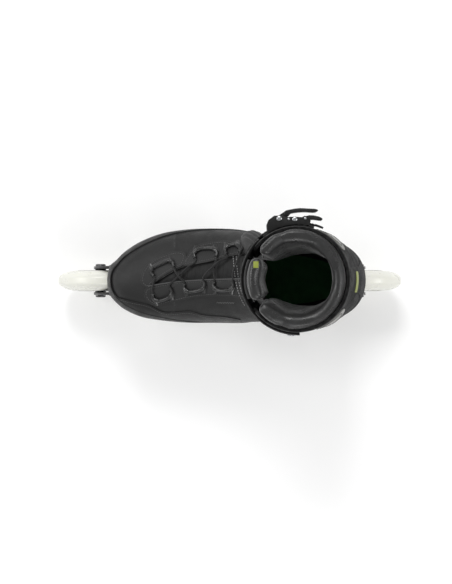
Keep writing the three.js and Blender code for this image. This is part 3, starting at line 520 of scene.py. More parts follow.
def inside(outline, axes=(0, 2)):
    """A region: the signed distance to a closed outline, in mm, positive inside."""
    ring = np.asarray(outline, float)

    def region(points):
        p = points[..., axes]
        best = np.full(p.shape[:-1], 1e9)
        odd = np.zeros(p.shape[:-1], bool)
        for a, b in zip(ring, np.roll(ring, -1, 0)):
            e = b - a
            t = np.clip(((p - a) @ e) / (e @ e), 0, 1)
            best = np.minimum(best, np.linalg.norm(p - a - t[..., None] * e, axis=-1))
            if a[1] != b[1]:
                level = (p[..., 1] < a[1]) != (p[..., 1] < b[1])
                odd ^= level & (p[..., 0] < (b[0] - a[0]) * (p[..., 1] - a[1]) / (b[1] - a[1]) + a[0])
        return np.where(odd, best, -best)

    return region


def both(*regions):
    return lambda p: np.min([r(p) for r in regions], 0)


def without(region):
    return lambda p: -region(p)


def ray_region(front, back, lift=0.0):
    """Above the cuff's pivot, between two rays in degrees up from +X."""
    ray = lambda angle: (
        PIVOT[0] + 400 * math.cos(math.radians(angle)), PIVOT[1] + lift + 400 * math.sin(math.radians(angle)))
    return inside([(PIVOT[0], PIVOT[1] + lift), ray(front), ray((front + back) / 2), ray(back)])


def disc(radius):
    """A circle round the cuff's pivot, seen from the side."""
    return lambda p: radius - np.hypot(p[..., 0] - PIVOT[0], p[..., 2] - PIVOT[1])


SNAP = 0.32  # grid points this close to a region's edge, in steps of the grid, move onto it


class Patch:
    """A piece of the form's surface, as (station, angle) points and faces, cut to a region."""

    def __init__(self, u0, u1, nu, a0, a1, na, region, d=0.0):
        self.region, self.seam = region, (a0, a1) if a1 - a0 > 6.28 else None
        params, quads = grid(u0, u1, nu, a0, a1, na)
        value = region(form(params, d))
        edges = np.unique(np.sort(np.concatenate(
            [quads[:, [0, 1]], quads[:, [1, 2]], quads[:, [2, 3]], quads[:, [3, 0]]]), axis=1), axis=0)
        a, b = edges.T
        crossing = (value[a] > 0) != (value[b] > 0)
        a, b = a[crossing], b[crossing]
        t = value[a] / (value[a] - value[b])
        moved = params.copy()
        nearest = np.full(len(params), SNAP)
        for near, far, share in ((a, b, t), (b, a, 1 - t)):
            for k in np.nonzero(share < SNAP)[0]:
                v = near[k]
                on_seam = self.seam and (abs(params[v, 1] - a0) < 1e-9 or abs(params[v, 1] - a1) < 1e-9)
                if on_seam and abs(params[far[k], 1] - params[v, 1]) > 1e-9:
                    continue
                if share[k] < nearest[v]:
                    nearest[v] = share[k]
                    moved[v] = params[v] + (params[far[k]] - params[v]) * share[k]
        value[nearest < SNAP] = 0
        points, faces, cuts = list(moved), [], {}
        keep = (value[quads] >= 0).all(1) & (value[quads] > 0).any(1)
        faces += quads[keep].tolist()
        for quad in quads[(value[quads] > 0).any(1) & (value[quads] < 0).any(1)]:
            ring = []
            for k in range(4):
                p, q = quad[k], quad[(k + 1) % 4]
                if value[p] >= 0:
                    ring.append(int(p))
                if value[p] * value[q] < 0:
                    key = (min(p, q), max(p, q))
                    if key not in cuts:
                        share = value[p] / (value[p] - value[q])
                        cuts[key] = len(points)
                        points.append(moved[p] + (moved[q] - moved[p]) * share)
                    ring.append(cuts[key])
            if len(ring) > 2:
                faces.append(ring)
        used = sorted({i for f in faces for i in f})
        index = {old: new for new, old in enumerate(used)}
        self.params = np.array([points[i] for i in used])
        self.faces = [[index[i] for i in f] for f in faces]

    def at(self, d):
        return form(self.params, d)

    def distance(self, d):
        """How far each point lies inside the region."""
        return np.maximum(0, self.region(self.at(d)))

    def rim(self):
        """Directed edges with a face on one side only."""
        seen = {}
        for f in self.faces:
            for p, q in zip(f, f[1:] + f[:1]):
                seen[(p, q)] = True
        edges = [(p, q) for p, q in seen if (q, p) not in seen]
        if self.seam:
            on = lambda i: any(abs(self.params[i, 1] - a) < 1e-9 for a in self.seam)
            edges = [(p, q) for p, q in edges if not (on(p) and on(q))]
        return edges

    def solid(self, outer, inner):
        n = len(self.params)
        faces = [list(f) for f in self.faces] + [[i + n for i in reversed(f)] for f in self.faces]
        faces += [[q, p, p + n, q + n] for p, q in self.rim()]
        return np.concatenate([self.at(outer), self.at(inner)]), faces

    def lines(self, level, d, region=None):
        """Smooth lines on the surface at a distance inside the region's edge."""
        value = (region or self.region)(self.at(d)) - level
        ends, places = {}, {}
        for f in self.faces:
            found = []
            for p, q in zip(f, f[1:] + f[:1]):
                if (value[p] > 0) != (value[q] > 0):
                    key = (min(p, q), max(p, q))
                    t = value[p] / (value[p] - value[q])
                    places[key] = self.params[p] + (self.params[q] - self.params[p]) * t
                    found.append(key)
            if len(found) == 2:
                ends.setdefault(found[0], []).append(found[1])
                ends.setdefault(found[1], []).append(found[0])
        left, out = set(ends), []
        while left:
            start = next((k for k in sorted(left) if len(ends[k]) == 1), None) or min(left)
            line, at = [start], start
            left.discard(start)
            while True:
                after = [k for k in ends[at] if k in left]
                if not after:
                    break
                at = after[0]
                left.discard(at)
                line.append(at)
            if len(line) > 5:
                out.append(form(np.array([places[k] for k in line]), d))
        return out


def evenly(path, step):
    """The path again, with points a step apart."""
    path = np.asarray(path, float)
    run = np.r_[0, np.cumsum(np.linalg.norm(np.diff(path, axis=0), axis=1))]
    count = max(2, int(round(run[-1] / step)) + 1)
    at = np.linspace(0, run[-1], count)
    return np.stack([np.interp(at, run, path[:, k]) for k in range(3)], 1)


def softened(path):
    path = np.array(path, float)
    for _ in range(3):
        path[1:-1] = (path[:-2] + 2 * path[1:-1] + path[2:]) / 4
    return path


def stitches(name, lines, finish=DARK_THREAD, *, pitch, length, radius, body="boot", zigzag=0.0):
    """Rows of sewn stitches, each a short round-ended thread on the surface."""
    parts = []
    for line in lines:
        path = evenly(softened(line), pitch)
        if len(path) < 3:
            continue
        for k, (p, q) in enumerate(zip(path[:-1], path[1:])):
            way = (q - p) / (np.linalg.norm(q - p) + 1e-9)
            side = np.cross(way, (0, 0, 1)) * (zigzag if k % 2 else -zigzag)
            middle, half = (p + q) / 2, way * length / 2
            run = [middle - half - side, middle - half * 0.7 - side * 0.7, middle + half * 0.7 + side * 0.7,
                   middle + half + side]
            parts.append(tube(run, [radius * 0.4, radius, radius, radius * 0.4], 6))
    return piece(name, merged(parts), finish, body, sharp=0)


def piping(name, lines, radius, finish, body="boot"):
    """A thin round cord sewn along lines on the surface."""
    parts = [tube(evenly(softened(line), 2.0), radius, 8) for line in lines if len(line) > 4]
    return piece(name, merged(parts), finish, body, sharp=0)


def shell(name, patch, outer, inner, finish, body="boot", replaces=(), bevel=0.5, sharp=40):
    """A patch of the form made solid between two offsets, which may differ from point to point."""
    return piece(name, patch.solid(outer, inner), finish, body, replaces, bevel, sharp)


# ------------------------------------------------------------------ wheels, bearings and axles
for number, x in enumerate(AXLES, 1):
    at = (x, AXLE_Z)
    body = f"wheel_{number}"
    sweep = np.linspace(0, 0.93 * math.pi / 2, 26)
    side = [(27.3 + 22.7 * math.cos(t), 2 + 9.9 * math.sin(t)) for t in sweep]
    side += [(29.2, 11.75), (28.9, 11.55), (28.5, 11.55), (28.2, 11.85), (27.3, 11.85)]
    tyre = [(r, -y) for r, y in reversed(side)] + [(50, 0)] + side
    piece(f"{body}_tread", turned(tyre, at, segments=96, closed=True),
          URETHANE, body, [f"{body}_tyre"], sharp=50, place=on_wheels)

    rim = [(23.4, -12.2), (26.6, -12.2), (27, -11.8), (27, 11.8), (26.6, 12.2), (23.4, 12.2), (22.8, 11.4),
           (22.6, 0), (22.8, -11.4)]
    hub = [(11.3, -12), (11.6, -12.2), (14.6, -12.2), (15.2, -11.4), (15.6, 0), (15.2, 11.4), (14.6, 12.2),
           (11.6, 12.2), (11.3, 12), (11.3, 4.8), (9.2, 4.6), (9.2, -4.6), (11.3, -4.8)]
    web = [(15, -2.4), (23, -2), (23, 2), (15, 2.4)]
    parts = [turned(profile, at, segments=72, closed=True) for profile in (rim, hub, web)]
    for k in range(9):
        sine, cosine = math.sin(2 * math.pi * k / 9), math.cos(2 * math.pi * k / 9)
        spoke = []
        for r, half, deep in ((14.8, 1.9, 9.6), (17, 1.3, 8.2), (20.5, 1.3, 8.4), (23, 2.0, 10.4)):
            cross = [(-half, -deep), (half, -deep), (half, deep), (-half, deep)]
            spoke.append([(x + r * sine + w * cosine, y, AXLE_Z + r * cosine - w * sine) for w, y in cross])
        parts.append(rings_mesh(spoke))
    piece(f"{body}_hub", merged(parts), CORE, body, [f"{body}_core"], bevel=0.35, place=on_wheels)

    for name, sign in SIDES.items():
        race = [(4, 5.2), (4, 11.9), (4.2, 12.1), (5.8, 12.1), (6.1, 11.9), (6.1, 11.5), (9.3, 11.5),
                (9.5, 11.9), (9.8, 12.1), (10.7, 12.1), (11, 11.8), (11, 5.4), (10.7, 5.1), (4.2, 5.1)]
        piece(f"{body}_race_{name}", turned([(r, sign * y) for r, y in race], at, segments=64, closed=True),
              STEEL, body, [f"{body}_bearing_{name}"], sharp=35, place=on_wheels)

    head = [(0, -18.3), (2.2, -18.3), (2.2, -19.4), (2.6, -19.7), (4.6, -19.7), (5.6, -19.3), (6, -18.6),
            (6, -17.5), (5.8, -17.3), (3.7, -17.3), (3.7, 17.3), (5.8, 17.3), (6, 17.5), (6, 18.6),
            (5.6, 19.3), (4.6, 19.7), (2.6, 19.7), (2.2, 19.4), (2.2, 18.3), (0, 18.3)]
    piece(f"axle_bolt_{number}", turned(head, at, segments=48, hexed=(1, 2, 17, 18)),
          DARK_STEEL, replaces=[f"axle_{number}"], sharp=35, place=on_wheels)
    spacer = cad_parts[f"wheel_{number}_spacer"].data
    spacer.materials.clear()
    spacer.materials.append(STEEL)


# ------------------------------------------------------------------ frame
def arc(x, z, r, a0, a1, n):
    t = np.linspace(a0, a1, n)
    return [(x + r * math.cos(k), z + r * math.sin(k)) for k in t]


def bend(a, control, b, n):
    t = np.linspace(0, 1, n + 1)[1:, None]
    a, control, b = map(np.array, (a, control, b))
    return ((1 - t) ** 2 * a + 2 * t * (1 - t) * control + t**2 * b).tolist()


FRAME_TOP, REAR_TOP, BRIDGE_TOP = 111.7, 121.7, 103.7
DECK_X = 97.5
WINDOW_TOP, WINDOW_LOW = 94, 76
BOLT_HOLE = 4.1
wall = []
for number, x in enumerate(AXLES):
    wall += arc(x, AXLE_Z, 8, 0, -math.pi, 16)
    if number < 3:
        after = AXLES[number + 1]
        wall += bend((x - 8, AXLE_Z), ((x + after) / 2, 84), (after + 8, AXLE_Z), 22)[:-1]
wall += bend((-161, 50), (-157, 83), (-131, REAR_TOP), 16)
wall += bend((-61.5, REAR_TOP), (-36, BRIDGE_TOP), (-10, BRIDGE_TOP), 14)
wall += [(26, BRIDGE_TOP)] + bend((26, BRIDGE_TOP), (33, BRIDGE_TOP), (38, 108), 6)
wall += bend((38, 108), (42, FRAME_TOP), (48, FRAME_TOP), 6)
wall += [(129, FRAME_TOP)] + bend((129, FRAME_TOP), (157, 83), (161, 50), 16)[:-1]


def window(x):
    """A three-cornered window in the frame's walls, with its point down."""
    top, tip = WINDOW_TOP - 3, WINDOW_LOW + 0.6
    ring = arc(x + 12, top, 3, math.pi / 2, 0, 5) + bend((x + 15, top), (x + 14, 80), (x + 3, tip), 8)
    ring += bend((x + 3, tip), (x, WINDOW_LOW), (x - 3, tip), 4)
    ring += bend((x - 3, tip), (x - 14, 80), (x - 15, top), 8)
    return ring + arc(x - 12, top, 3, math.pi, math.pi / 2, 5)


holes = [window(x) for x in (102, 0, -102)]
holes += [arc(x, AXLE_Z, BOLT_HOLE, 0, 2 * math.pi * 23 / 24, 24) for x in AXLES]
parts = []
for side in (-1, 1):
    low, high = sorted((side * 13.7, side * 17))
    parts.append(slab(wall, low, high, 0.5, holes, "XZ"))
    for x in AXLES:
        boss = [(BOLT_HOLE, 12.4), (6.3, 12.4), (6.5, 12.6), (6.5, 14), (BOLT_HOLE, 14)]
        parts.append(turned([(r, side * y) for r, y in boss], (x, AXLE_Z), segments=32, closed=True))
for middle, top in ((DECK_X, FRAME_TOP), (-DECK_X, REAR_TOP)):
    section = [(-16.9, -7), (-16.9, -1.2), (-16.2, 0), (16.2, 0), (16.9, -1.2), (16.9, -7), (13, -7),
               (11.5, -5.6), (-11.5, -5.6), (-13, -7)]
    parts.append(rings_mesh([[(middle + dx, y, top + z) for y, z in section] for dx in (-30, 30)]))
parts.append(block(-16, 16, -14.5, 14.5, BRIDGE_TOP - 4, BRIDGE_TOP - 0.2))
for x in (-16, 16):
    parts.append(turned([(0, -14), (1.9, -14), (1.9, 14), (0, 14)], (x, BRIDGE_TOP - 2), segments=16))
piece("frame_extrusion", merged(parts), ANODISED, replaces=["frame"], sharp=30, place=on_wheels)
# A shallow raised rib runs along each side of the frame, under the decks.
rib_line = [(140, 96), (122, 101), (72, 101), (46, 97), (0, 98.2), (-40, 101), (-66, 108), (-122, 109),
            (-136, 104)]
rib_path = spline([(x, 0, z) for x, z in rib_line], 8)
ribs = [tube(rib_path + [0, side * 17.0, 0], 0.9, 8, up=(0, 1, 0)) for side in (-1, 1)]
piece("frame_ribs", merged(ribs), ANODISED, sharp=0, place=on_wheels)

for name, x, top in (("front", DECK_X, FRAME_TOP), ("rear", -DECK_X, REAR_TOP)):
    under = top - 7.3
    bolt = [(0, under - 2.4), (3, under - 2.4), (3, under - 4.8), (3.3, under - 5), (6, under - 5),
            (6.5, under - 4.5), (6.5, under), (4, under), (4, top + 6), (0, top + 6)]
    piece(f"{name}_deck_bolt", turned(bolt, (x, 0), "Z", 48, hexed=(1, 2)),
          STEEL, replaces=[f"{name}_mount_bolt"], sharp=35, place=on_wheels)

# ------------------------------------------------------------------ sole
SOLE_SHARE = [1, 0.98, 0.97, 0.96, 0.95, 0.94, 0.93, 0.91, 0.89, 0.87, 0.85]
LIP_TOP = 10.8  # the sole rises round its edge to meet the rounded upper
rings = []
for v in np.concatenate([np.linspace(0, 10, 101), 10 + 2 * np.sin(np.linspace(0.05, 1, 30) * math.pi / 2)]):
    s = stations(v)
    share = np.interp(v, range(11), SOLE_SHARE) * math.sqrt(1 - (max(0, v - 10) / 2.04) ** 2)
    x = s[0] - 1.5 * (1 if v < 1.5 else -1 if v > 10.5 else np.clip(2.5 - v, 0, 1) - np.clip(v - 9.5, 0, 1))
    rise = HEEL_RISE * np.clip((48 - x) / 110, 0, 1)
    y0, y1 = -(s[4] * share - 1.5), s[5] * share - 1.5
    section = []
    for y, z, start in ((y1, LIP_TOP, 0), (y0, LIP_TOP, 1), (y0, 0, 2), (y1, 0, 3)):
        r = 2.6 if z == 0 else 0.9
        centre = (y - math.copysign(r, y), z - r if z else r)
        for t in np.linspace(start, start + 1, 5) * math.pi / 2:
            section.append((x, centre[0] + r * math.cos(t), rise + centre[1] + r * math.sin(t)))
        if start == 0:
            section += [(x, share * yy, rise + zz) for yy, share, zz in (
                (y1, 0.84, 9.2), (y1, 0.62, 8.05), (y0, 0.62, 8.05), (y0, 0.84, 9.2))]
    rings.append(section)
piece("boot_sole", rings_mesh(rings), SOLE, replaces=["outsole"], bevel=0.8)

# ------------------------------------------------------------------ upper
above_throat = {"tip": (89, 5.5), "outer": [(57, -13), (22, -20.5), (-17, -29.5), (-60, -36)],
                "inner": [(-60, 10), (-17, -2.5), (22, -1.5), (57, 0.5)]}


def throat(extra):
    outer = spline([above_throat["tip"], *above_throat["outer"]], 8)
    inner = spline([above_throat["tip"], *above_throat["inner"][::-1]], 8)[::-1]
    plan = inside(np.r_[outer, inner[:-1]], (0, 1))
    return lambda p: np.minimum(plan(p) + extra, p[..., 2] - 38)


over_fixed = both(ray_region(24, 172), without(disc(13)))
PIVOT_HOLE = 4.3
fixed_zone = both(without(over_fixed), without(throat(0)), without(disc(PIVOT_HOLE)))
moving_zone = both(ray_region(38, 170, 2.0), without(disc(14.5)))

TOE_SEAM = 61.95
UPPER_THICK = 3.5
RAND_OUT, RAND_IN = 1.6, 0.25
in_front = lambda p: p[..., 0] - TOE_SEAM
behind = lambda p: TOE_SEAM - p[..., 0]
toe_patch = Patch(TIP, 6.2, 90, 0, FULL, 150, both(in_front, fixed_zone))
shell("toe_cap", toe_patch, 0, -UPPER_THICK, UPPER, replaces=["toe_box"], bevel=0)


def quarter_side(side):
    def region(p):
        forward = (p[..., 2] > 40) & (p[..., 0] > -100)
        limit = np.where(forward, -8, 0)
        return side * (p[..., 1] - limit) - 0.15
    return region


quarters = {
    "inner": Patch(5, 14, 190, 0, math.pi + 0.7, 130, both(quarter_side(1), behind, fixed_zone)),
    "outer": Patch(5, 14, 190, math.pi - 0.3, FULL, 120, both(quarter_side(-1), behind, fixed_zone)),
}
for name, patch in quarters.items():
    shell(f"quarter_{name}_side", patch, 0, -UPPER_THICK, WOVEN, replaces=[f"quarter_{name}"], bevel=0)

RAND_TOP = 38
rand_edge = spline([(148, RAND_TOP - 4), (110, RAND_TOP), (48, RAND_TOP), (16, RAND_TOP + 1),
                    (-6, RAND_TOP - 1), (-26, 31), (-44, 22), (-52, 18.5)], 8).tolist()
rand_region = inside(rand_edge + [(-52, UPPER_Z + 10), (48, UPPER_Z + 1), (200, UPPER_Z + 1), (200, 30)])
rand_patch = Patch(TIP, 10.5, 180, 0, FULL, 240, rand_region, RAND_OUT)
shell("rand_band", rand_patch, RAND_OUT, RAND_IN, RAND, replaces=["toe_rand"], bevel=0.5)
counter_line = spline([(-78, 21.5), (-84, 30), (-96, 41), (-118, 55), (-160, 60)], 8).tolist()
counter_patch = Patch(9, 14, 90, -math.pi / 2 - 0.6, math.pi / 2 + 0.6, 130,
                      inside(counter_line + [(-200, 60), (-200, 22)]), RAND_OUT)
shell("heel_shell", counter_patch, RAND_OUT, RAND_IN, PLASTIC, replaces=["heel_counter"], bevel=0.5)

# Overlays sewn on the upper, as outlines seen from above and a thickness: two eyestay flaps, the inner
# eyestay and, after them, the inner bumper.
OVERLAY_IN = 0.15
TOP_HALF = (math.pi * 0.5, math.pi * 1.5)
OVERLAYS = {
    "flap_front": ([(93, 9), (101, 3), (98, -12), (88, -23), (75, -29), (60, -33), (50, -30), (53, -17),
                    (62, -12.5), (78, -3)], FLAP, 1.3),
    "flap_rear": ([(53.5, -17), (47, -30), (39, -38.5), (22, -43.5), (-8, -45), (-34, -45), (-34, -34),
                   (-17, -30), (5, -25.5), (22, -21), (40, -17)], FLAP, 1.6),
    "eyestay_inner": ([(96, 10), (97, 19), (86, 29), (66, 26), (50, 22), (28, 19), (-2, 19.5), (-22, 20),
                       (-22, -1.8), (-17, -1.9), (22, -0.9), (57, 1.1), (76, 3.6), (88, 6.6)], FLAP, 1.2),
}
for name, (outline, finish, thick) in OVERLAYS.items():
    ring = spline(outline, 6, closed=True)
    region = both(inside(ring, (0, 1)), without(throat(0.4)), without(ray_region(26, 172)))
    patch = Patch(2, 12, 230, *TOP_HALF, 150, region, thick)
    shell(name, patch, thick, OVERLAY_IN, finish, bevel=0.3)
    stitches(f"{name}_stitching", patch.lines(2.4, thick + 0.12), pitch=2.8, length=2.0, radius=0.28)
bumper_line = spline([(128, 20), (112, 24), (92, 28.4), (75, 36.5), (60, 36.5), (46, 35.3), (29, 40), (5, 42),
                      (-12, 45)], 8).tolist()
bumper_plan = inside(bumper_line + [(-12, 80), (128, 80)], (0, 1))
bumper_region = both(bumper_plan, lambda p: p[..., 2] - (RAND_TOP - 2), without(ray_region(26, 172)))
bumper_patch = Patch(1, 10, 170, math.pi * 0.25, math.pi, 120, bumper_region, 1.0)
shell("inner_bumper", bumper_patch, 1.0, OVERLAY_IN, BUMPER, bevel=0.3)
stitches("bumper_stitching", bumper_patch.lines(2.0, 1.1, bumper_plan), pitch=2.8, length=2.0, radius=0.26)
# Light piping follows the inner edge of the throat.
edge_line = spline([(92, 6.6), (76, 4), (57, 1.7), (22, -0.3), (-17, -1.2)], 10)
edge = [Skin(0).above(x, y, 1.6) for x, y in edge_line]
piping("throat_piping", [edge], 0.75, WEBBING)

# ------------------------------------------------------------------ liner, tongue and footbed
LINER_OUT, LINER_IN, LINER_SKIN = -3.9, -8.9, -5
liner_region = both(without(over_fixed), without(throat(5.6)))
liner_patch = Patch(0, 14, 150, -math.pi, math.pi, 130, liner_region, LINER_SKIN)
shell("foot_lining", liner_patch, LINER_OUT, LINER_IN, LINING, replaces=["liner_foot"], bevel=0.8)

tongue_region = both(throat(5), without(over_fixed), lambda p: p[..., 2] - 48, lambda p: p[..., 0] + 60)
tongue_patch = Patch(3, 14, 230, *TOP_HALF, 170, tongue_region, LINER_SKIN)
free = tongue_patch.distance(LINER_SKIN)
quilt = np.sin(tongue_patch.at(LINER_SKIN)[:, 0] * FULL / 9) ** 8
crown = LINER_OUT + 2.4 * (1 - np.exp(-np.maximum(0, free - 4.5) / 5)) * (1 - 0.45 * quilt)
tongue_lower = shell("tongue_padding", tongue_patch, crown, -12.9, TONGUE, replaces=["tongue_lower"],
                     bevel=1.2)

skin_in = Skin(LINER_IN - 0.4)
rows = []
for x in np.linspace(117, -128, 60):
    rise = HEEL_RISE * np.clip((48 - x) / 110, 0, 1)
    z = 21.2 + rise
    ends = [skin_in.hit((x, -4 if x > 100 else 0, z), (0, s, 0))[0][1] for s in (-1, 1)]
    t = np.linspace(-1, 1, 17)
    y = np.interp(t, (-1, 1), ends)
    cup = 2.2 * np.abs(t) ** 4
    top = [(x, yy, z + c) for yy, c in zip(y, cup)]
    bottom = [(x, yy, z - 3.2) for yy in y[::-1]]
    rows.append(top + bottom)
piece("insole", rings_mesh(rows), FOOTBED, replaces=["footbed"], bevel=0.5)


# ------------------------------------------------------------------ padded pieces
def inflated(made, cap):
    """Fills a closed pad with air by cloth simulation, and keeps each point within cap mm of where it was."""
    scene = bpy.context.scene
    bpy.context.view_layer.objects.active = made
    remesh = made.modifiers.new("remesh", "REMESH")
    remesh.mode = "VOXEL"
    remesh.voxel_size = 4.5 * MM
    graph = bpy.context.evaluated_depsgraph_get()
    even = bpy.data.meshes.new_from_object(made.evaluated_get(graph))
    made.modifiers.clear()
    made.data = even
    before = np.array([v.co for v in even.vertices]).reshape(-1, 3)
    cloth = made.modifiers.new("cloth", "CLOTH")
    cloth.settings.use_pressure = True
    cloth.settings.uniform_pressure_force = 4.0
    cloth.settings.effector_weights.gravity = 0
    cloth.settings.quality = 5
    cloth.settings.mass = 0.3
    for step in range(1, 21):
        scene.frame_set(step)
    graph = bpy.context.evaluated_depsgraph_get()
    after = np.array([v.co for v in made.evaluated_get(graph).data.vertices]).reshape(-1, 3)
    made.modifiers.clear()
    scene.frame_set(1)
    moved = after - before
    size = np.linalg.norm(moved, axis=1)[:, None] + 1e-12
    moved *= np.minimum(1, cap * MM / size)
    even.vertices.foreach_set("co", (before + moved).astype(np.float32).ravel())
    even.update()
    even.polygons.foreach_set("use_smooth", [True] * len(even.polygons))
    subdivided(made, 1)


COLLAR_LOW = 8  # the lowest station a collar may reach down to
COLLAR_CROWN = 0.3  # how much of a station the rounded top of a collar takes


def collar_loop(angle, outer, inner, top, region, pad):
    """A padded ring's section at an angle, closed: up the outer side, over the top, down the inner side."""
    scan = np.linspace(COLLAR_LOW, top, 160)
    value = region(form(np.stack([scan, np.full(160, angle)], 1), (outer + inner) / 2))
    outside = np.nonzero(value < 1.0)[0]
    bottom = scan[outside[-1] + 1] if len(outside) else scan[0]
    straight = top - COLLAR_CROWN
    middle, half = (outer + inner) / 2, (outer - inner) / 2
    foot = bottom + 0.12
    us, ds = [], []
    for t in np.linspace(0, 1, 14):
        us.append(foot + (straight - bottom - 0.12) * t)
        ds.append(outer)
    for t in np.linspace(0, math.pi, 9)[1:-1]:
        us.append(straight + COLLAR_CROWN * math.sin(t))
        ds.append(middle + half * math.cos(t))
    for t in np.linspace(1, 0, 14):
        us.append(foot + (straight - bottom - 0.12) * t)
        ds.append(inner - pad * math.sin(math.pi * t) ** 1.5)
    for t in np.linspace(math.pi, 0, 5)[1:-1]:
        us.append(bottom + 0.12 * (1 - math.sin(t)))
        ds.append(middle + half * math.cos(t))
    return form(np.stack([us, np.full(len(us), angle)], 1), np.array(ds))


def shin_angle(y, d):
    """The ring angle on the shin side whose half width is y, from the crest."""
    return math.asin(min(1, y / (48.5 + d)))


def padded_ring(name, a0, a1, count, finish, replaces, pad, outer=3.1, inner=-11.0, seams=()):
    """A padded ring at the top of the leg, between two angles, thinner at its ends and its seams."""
    loops = []
    for k, angle in enumerate(np.linspace(a0, a1, count)):
        end = min(k, count - 1 - k) / 3
        ease = math.sqrt(max(0.04, 1 - (1 - min(1, end)) ** 2))
        nip = sum(math.exp(-((angle - s) / 0.05) ** 2) for s in seams)
        middle, half = (outer + inner) / 2, (outer - inner) / 2 * ease * (1 - 0.3 * nip)
        loops.append(collar_loop(angle, middle + half, middle - half, LAST - 0.12 * nip, moving_zone,
                                 pad(angle) * ease))
    made = piece(name, rings_mesh(loops), finish, "cuff", replaces, sharp=0, levels=1)
    return made


gap = shin_angle(24, -4)
side_pad = lambda a: 4.5 * abs(math.sin(a)) ** 2
collar = padded_ring("collar_padding", -math.pi + gap, math.pi - gap, 110, SATIN, ["liner_collar"], side_pad,
                     seams=(-1.9, 1.9))
gap = shin_angle(22.6, -4)
tongue_top = padded_ring("tongue_top_padding", math.pi - gap, math.pi + gap, 36, SATIN, ["tongue_upper"],
                         lambda a: 1.5, outer=3.0, inner=-10.5)
for pad in (collar, tongue_top):
    inflated(pad, 2.2)

# Stretch fabric joins the fixed liner to the moving collar, in front of the ankle and behind it.
SLEEVE = (-4.1, -8.3)
front_region = both(ray_region(19, 100), without(ray_region(43, 172, 2.0)), without(disc(12)),
                    lambda p: p[..., 0] - PIVOT[0])
sleeve_front = Patch(7, 15, 120, *TOP_HALF, 110, front_region, LINER_SKIN)
sleeve = shell("ankle_sleeve_front", sleeve_front, *SLEEVE, TONGUE, body=None, bevel=0.8)
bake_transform(sleeve)
back_region = both(without(ray_region(10, 166, 4.0)), ray_region(10, 175.5), lambda p: -82 - p[..., 0])
sleeve_back = Patch(11, 15.5, 70, -1.5, 1.5, 90, back_region, LINER_SKIN)
sleeve = shell("ankle_sleeve_back", sleeve_back, *SLEEVE, LINING, body=None, bevel=0.8)
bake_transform(sleeve)

# ------------------------------------------------------------------ cuff
cuff_line = spline([(-27, 207), (-40, 209), (-100, 209), (-150, 206), (-164, 195), (-170, 138), (-168, 66),
                    (-150, 60), (-132, 60.5), (-104, 72), (-84, 78.5), (-64, 79), (-53, 88), (-47, 106),
                    (-44, 126), (-33, 150), (-25, 178)], 5, closed=True)
SLOTS = ([(-100, 108), (-112, 128), (-118, 126), (-107, 106)],
         [(-84, 112), (-90, 130), (-96, 129), (-91, 110)])
CUFF_OUT, CUFF_IN = 7.2, 4.0
border = inside(cuff_line)
cuff_region = both(border, without(disc(PIVOT_HOLE)), *[without(inside(spline(s, 4, True))) for s in SLOTS])
cuff_patch = Patch(7, LAST, 210, -math.pi, math.pi, 300, cuff_region, CUFF_OUT)
shell("cuff_shell", cuff_patch, CUFF_OUT, CUFF_IN, PLASTIC, "cuff", ["cuff"], bevel=0.7)
piping("cuff_border", cuff_patch.lines(2.6, CUFF_OUT + 0.05, border), 0.9, RAND, "cuff")
piping("cuff_line", cuff_patch.lines(5.2, CUFF_OUT, border), 0.45, PLASTIC, "cuff")

panel_line = spline([(-93, 197), (-106, 198), (-117, 194), (-122, 184), (-124, 170), (-119, 156), (-108, 154),
                     (-99, 172)], 5, closed=True)
for name, side in SIDES.items():
    span = (-math.pi, 0) if side < 0 else (0, math.pi)
    patch = Patch(11, LAST, 130, *span, 110, inside(panel_line), 9)
    shell(f"cuff_trim_{name}", patch, 9.0, 7.4, SILVER, "cuff", [f"cuff_panel_{name}"], bevel=0.5)
    piping(f"cuff_trim_groove_{name}", patch.lines(3.4, 9.0), 0.4, PLASTIC, "cuff")

    wall_y = Skin(0).beside(*PIVOT, side)
    head = wall_y + CUFF_OUT + 2.2
    bolt = [(0, wall_y - 3), (4, wall_y - 3), (4, head), (7.6, head), (8, head + 0.4), (7.6, head + 1.5),
            (6.4, head + 2.2), (3.1, head + 2.2), (2.7, head + 2.0), (2.7, head + 0.6), (0, head + 0.6)]
    piece(f"pivot_bolt_{name}", turned([(r, side * y) for r, y in bolt], PIVOT, segments=64, hexed=(8, 9)),
          STEEL, replaces=[f"cuff_pivot_{name}"], sharp=35)
    washer = [(8.4, head - 1.9), (11.5, head - 1.9), (11.5, head - 1.2), (10.8, head - 0.6),
              (8.4, head - 0.6)]
    piece(f"pivot_washer_{name}", turned([(r, side * y) for r, y in washer], PIVOT, segments=64, closed=True),
          BUCKLE, "cuff", sharp=35)

# The spine is a raised rib down the back of the cuff, with a plain coloured stripe across it.
spine_line = spline([(0, 205), (10, 204), (13, 180), (15, 140), (20, 100), (22, 66), (0, 64), (-22, 66),
                     (-20, 100), (-15, 140), (-13, 180), (-10, 204)], 5, closed=True)
back = lambda p: -100 - p[..., 0]
spine_patch = Patch(11, LAST, 130, -1.2, 1.2, 70, both(inside(spine_line, (1, 2)), back), 8.6)
shell("cuff_spine", spine_patch, 8.6, 7.1, PLASTIC, "cuff", bevel=0.5)
stripe = both(inside([(-9, 150), (14, 151.5), (14, 162), (-9, 160.5)], (1, 2)), back)
shell("spine_stripe", Patch(13, LAST, 90, -0.6, 0.8, 60, stripe, 8.9), 9.0, 8.5, ACCENT, "cuff", bevel=0.2)

